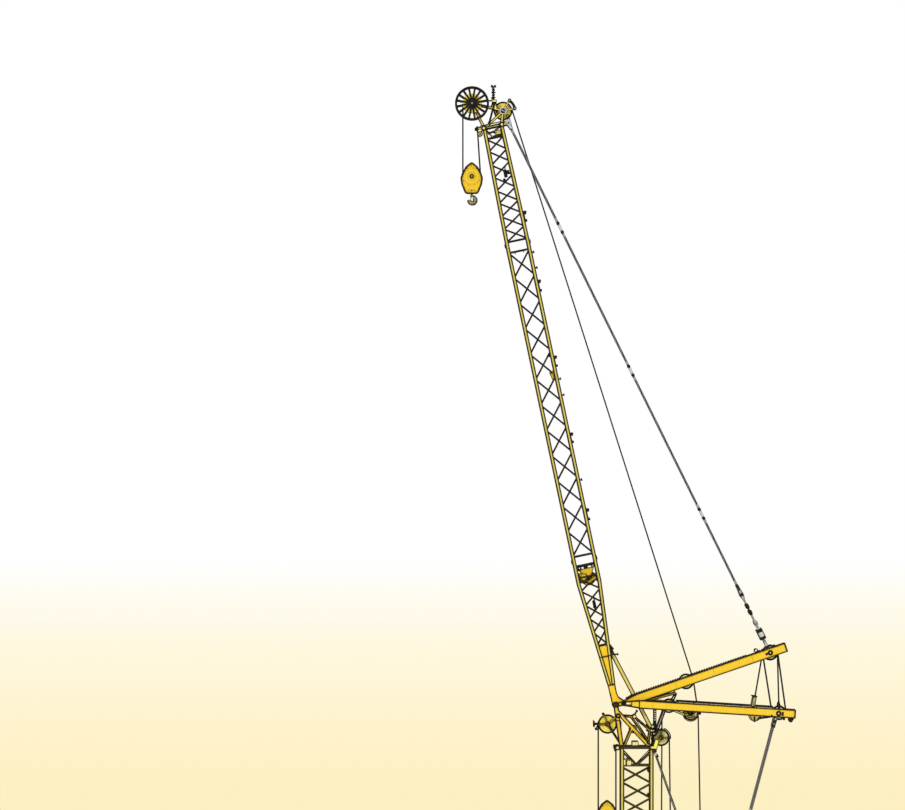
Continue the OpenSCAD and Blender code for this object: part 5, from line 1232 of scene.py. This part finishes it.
# The dark edges of the links: each from one distance and offset to the next, and a radius
EDGES = ((2.34, 1, 2.13, 1.35, 0.016), (2.13, 1.35, 1.86, 0, 0.016), (1.19, 0, 0.98, 1.3, 0.016),
         (0.98, 1.3, 0.79, 0.4, 0.016), (0.74, 2, 0.32, 2, 0.018), (0.28, 0.7, 0.08, 0.9, 0.014))
for off in (-0.052, 0.052):
    for da, aside_a, db, aside_b, r in EDGES:
        pins.append(rod(before(da, aside_a * off), before(db, aside_b * off), r, 8, 0))
links += turned((2.34, 0.046), (2.16, 0.064), (1.98, 0.042), (1.88, 0.020))
links += turned((1.18, 0.020), (1.02, 0.058), (0.90, 0.058), (0.79, 0.030))
links += turned((0.79, 0.030), (0.74, 0.094), (0.32, 0.094), (0.28, 0.032)) + turned((0.28, 0.040), (0.08, 0.046))
fit("pendant_pins", both(pins), machine_black, "luffing_jib")
fit("pendant_links", both(links), link_steel, "luffing_jib")

# %% [markdown]
# The pendants' upper forks are triangular plates of pale forged steel, with one dark pin in each.

# %% Upper forks
parts, pins = [], []
for side in (-1, 1):
    at = fork + Vector((0, UPPER_SIDE + side * 0.056, 0))
    corners = [at - run * 0.17 + across * 0.125, at - run * 0.13 - across * 0.125,
               at + run * 0.26 - across * 0.05, at + run * 0.26 + across * 0.05]
    parts.append(plate([(c.x, c.z) for c in corners], at.y, 0.012))
    pins.append(disc((at.x, at.y + side * 0.012, at.z), 0.036, 0.016, 20))
fit_lined("pendant_forks", both(parts), fork_steel, "luffing_jib", r=0.013)
fit("pendant_fork_pins", both(pins), machine_black, "luffing_jib")

# %% [markdown]
# Four ropes run between parts that move against each other. Each is remade as a straight tube whose points are
# all in its two end rings. A rope leaves a sheave on the common tangent of the two, at the radius of the groove.

# %% Ropes between moving parts
ROPE_R = 0.029        # drawn a little thicker than the solid's rope, which it replaces
ROPE = 0.026          # the solid's rope, across
MAST_RIM, GUIDE_RIM, BLOCK_RIM, LOWER_RIM = 0.290, 0.290, 0.340, 0.270
DEAD_END_DROP = 0.0603

def tangent(c1, r1, c2, r2, side):
    """Where a rope on the +X side (side 1) or the -X side leaves two sheaves, seen along Y."""
    span = Vector((c2.x - c1.x, c2.z - c1.z))
    e = span.normalized()
    s = (r1 - r2) / span.length
    turn = (1 if e.y > 0 else -1) * side
    n = s * e + math.sqrt(1 - s * s) * turn * Vector((e.y, -e.x))
    return (Vector((c1.x + r1 * n.x, c1.y, c1.z + r1 * n.y)), Vector((c2.x + r2 * n.x, c1.y, c2.z + r2 * n.y)))

def groove_r(rim, pitch):
    """The radius at which a rope lies in the grooves of a sheave pack."""
    h, rise = ROPE + 0.004, 0.38 * pitch
    return rim - h + ((ROPE / 2 + 0.0002) * math.hypot(h, rise) - 0.05 * pitch * h) / rise

def tube(a, b):
    a, b = Vector(a), Vector(b)
    clear()
    bpy.ops.mesh.primitive_cylinder_add(vertices=12, radius=ROPE_R, depth=(b - a).length, location=(a + b) / 2,
                                        rotation=(b - a).to_track_quat("Z", "Y").to_euler())
    return settle(bpy.context.object)

GUIDE_PITCH, TIP_PITCH = 2.3 * ROPE, 2.15 * ROPE
lower_guide, upper_guide = LOWER @ GUIDE, UPPER @ Vector((2.456, 0, 0))
lower_tip, upper_tip = LOWER @ Vector((5.787, 0, 0)), UPPER @ Vector((TIP, 0, 0))
upper_r, lower_r = groove_r(MAST_RIM, TIP_PITCH), groove_r(LOWER_RIM, TIP_PITCH)
reeved = []
for i in range(5):
    for side in (-1, 1):
        shift = Vector((0, (i - 2) * TIP_PITCH, 0))
        reeved.append(tube(*tangent(upper_tip + shift, upper_r, lower_tip + shift, lower_r, side)))
for x, z, end, side in ((4.850, 0.5125, 0.030, -1), (5.755, 0.4425, 0.0016, 1)):
    shift = Vector((0, side * 3 * TIP_PITCH, 0))
    low, high = tangent(LOWER @ Vector((x, 0, z)) + shift, 0, upper_tip + shift, upper_r, side)
    reeved.append(tube(low + (high - low).normalized() * (end + 0.0002), high))
reeved = fit("reeved_luffing_ropes", reeved, running_rope, None)
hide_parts("luffing_ropes")
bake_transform(reeved)

guide_r = groove_r(GUIDE_RIM, GUIDE_PITCH)
link = fit("reeved_hoist_link", [tube(*tangent(upper_guide, guide_r, lower_guide, guide_r, 1))], running_rope, None)
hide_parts("hoist_rope_link")
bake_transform(link)

fall_r = groove_r(BLOCK_RIM, GUIDE_PITCH)
drop = Vector((0, 0, DEAD_END_DROP))
dead_end = JIB @ Vector((-0.603, 0, 22.010)) - drop
dead_fall = tangent(dead_end + drop, 0, jib_block_at, fall_r, 1)[1]
fall = fit("jib_dead_fall", [tube(dead_end, dead_fall)], running_rope, None)
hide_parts("jib_dead_end_fall")
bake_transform(fall)

fall_x = boom_block_at.x - fall_r
parts = [tube((fall_x, 0, FRONT.z), (fall_x, 0, boom_block_at.z)),
         tube((fall_x + 2 * fall_r, 0, 4.2877), (fall_x + 2 * fall_r, 0, boom_block_at.z))]
falls = fit("boom_reeved_falls", parts, running_rope, None)
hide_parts("boom_falls")
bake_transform(falls)
print("ropes between moving parts: 4 pieces")
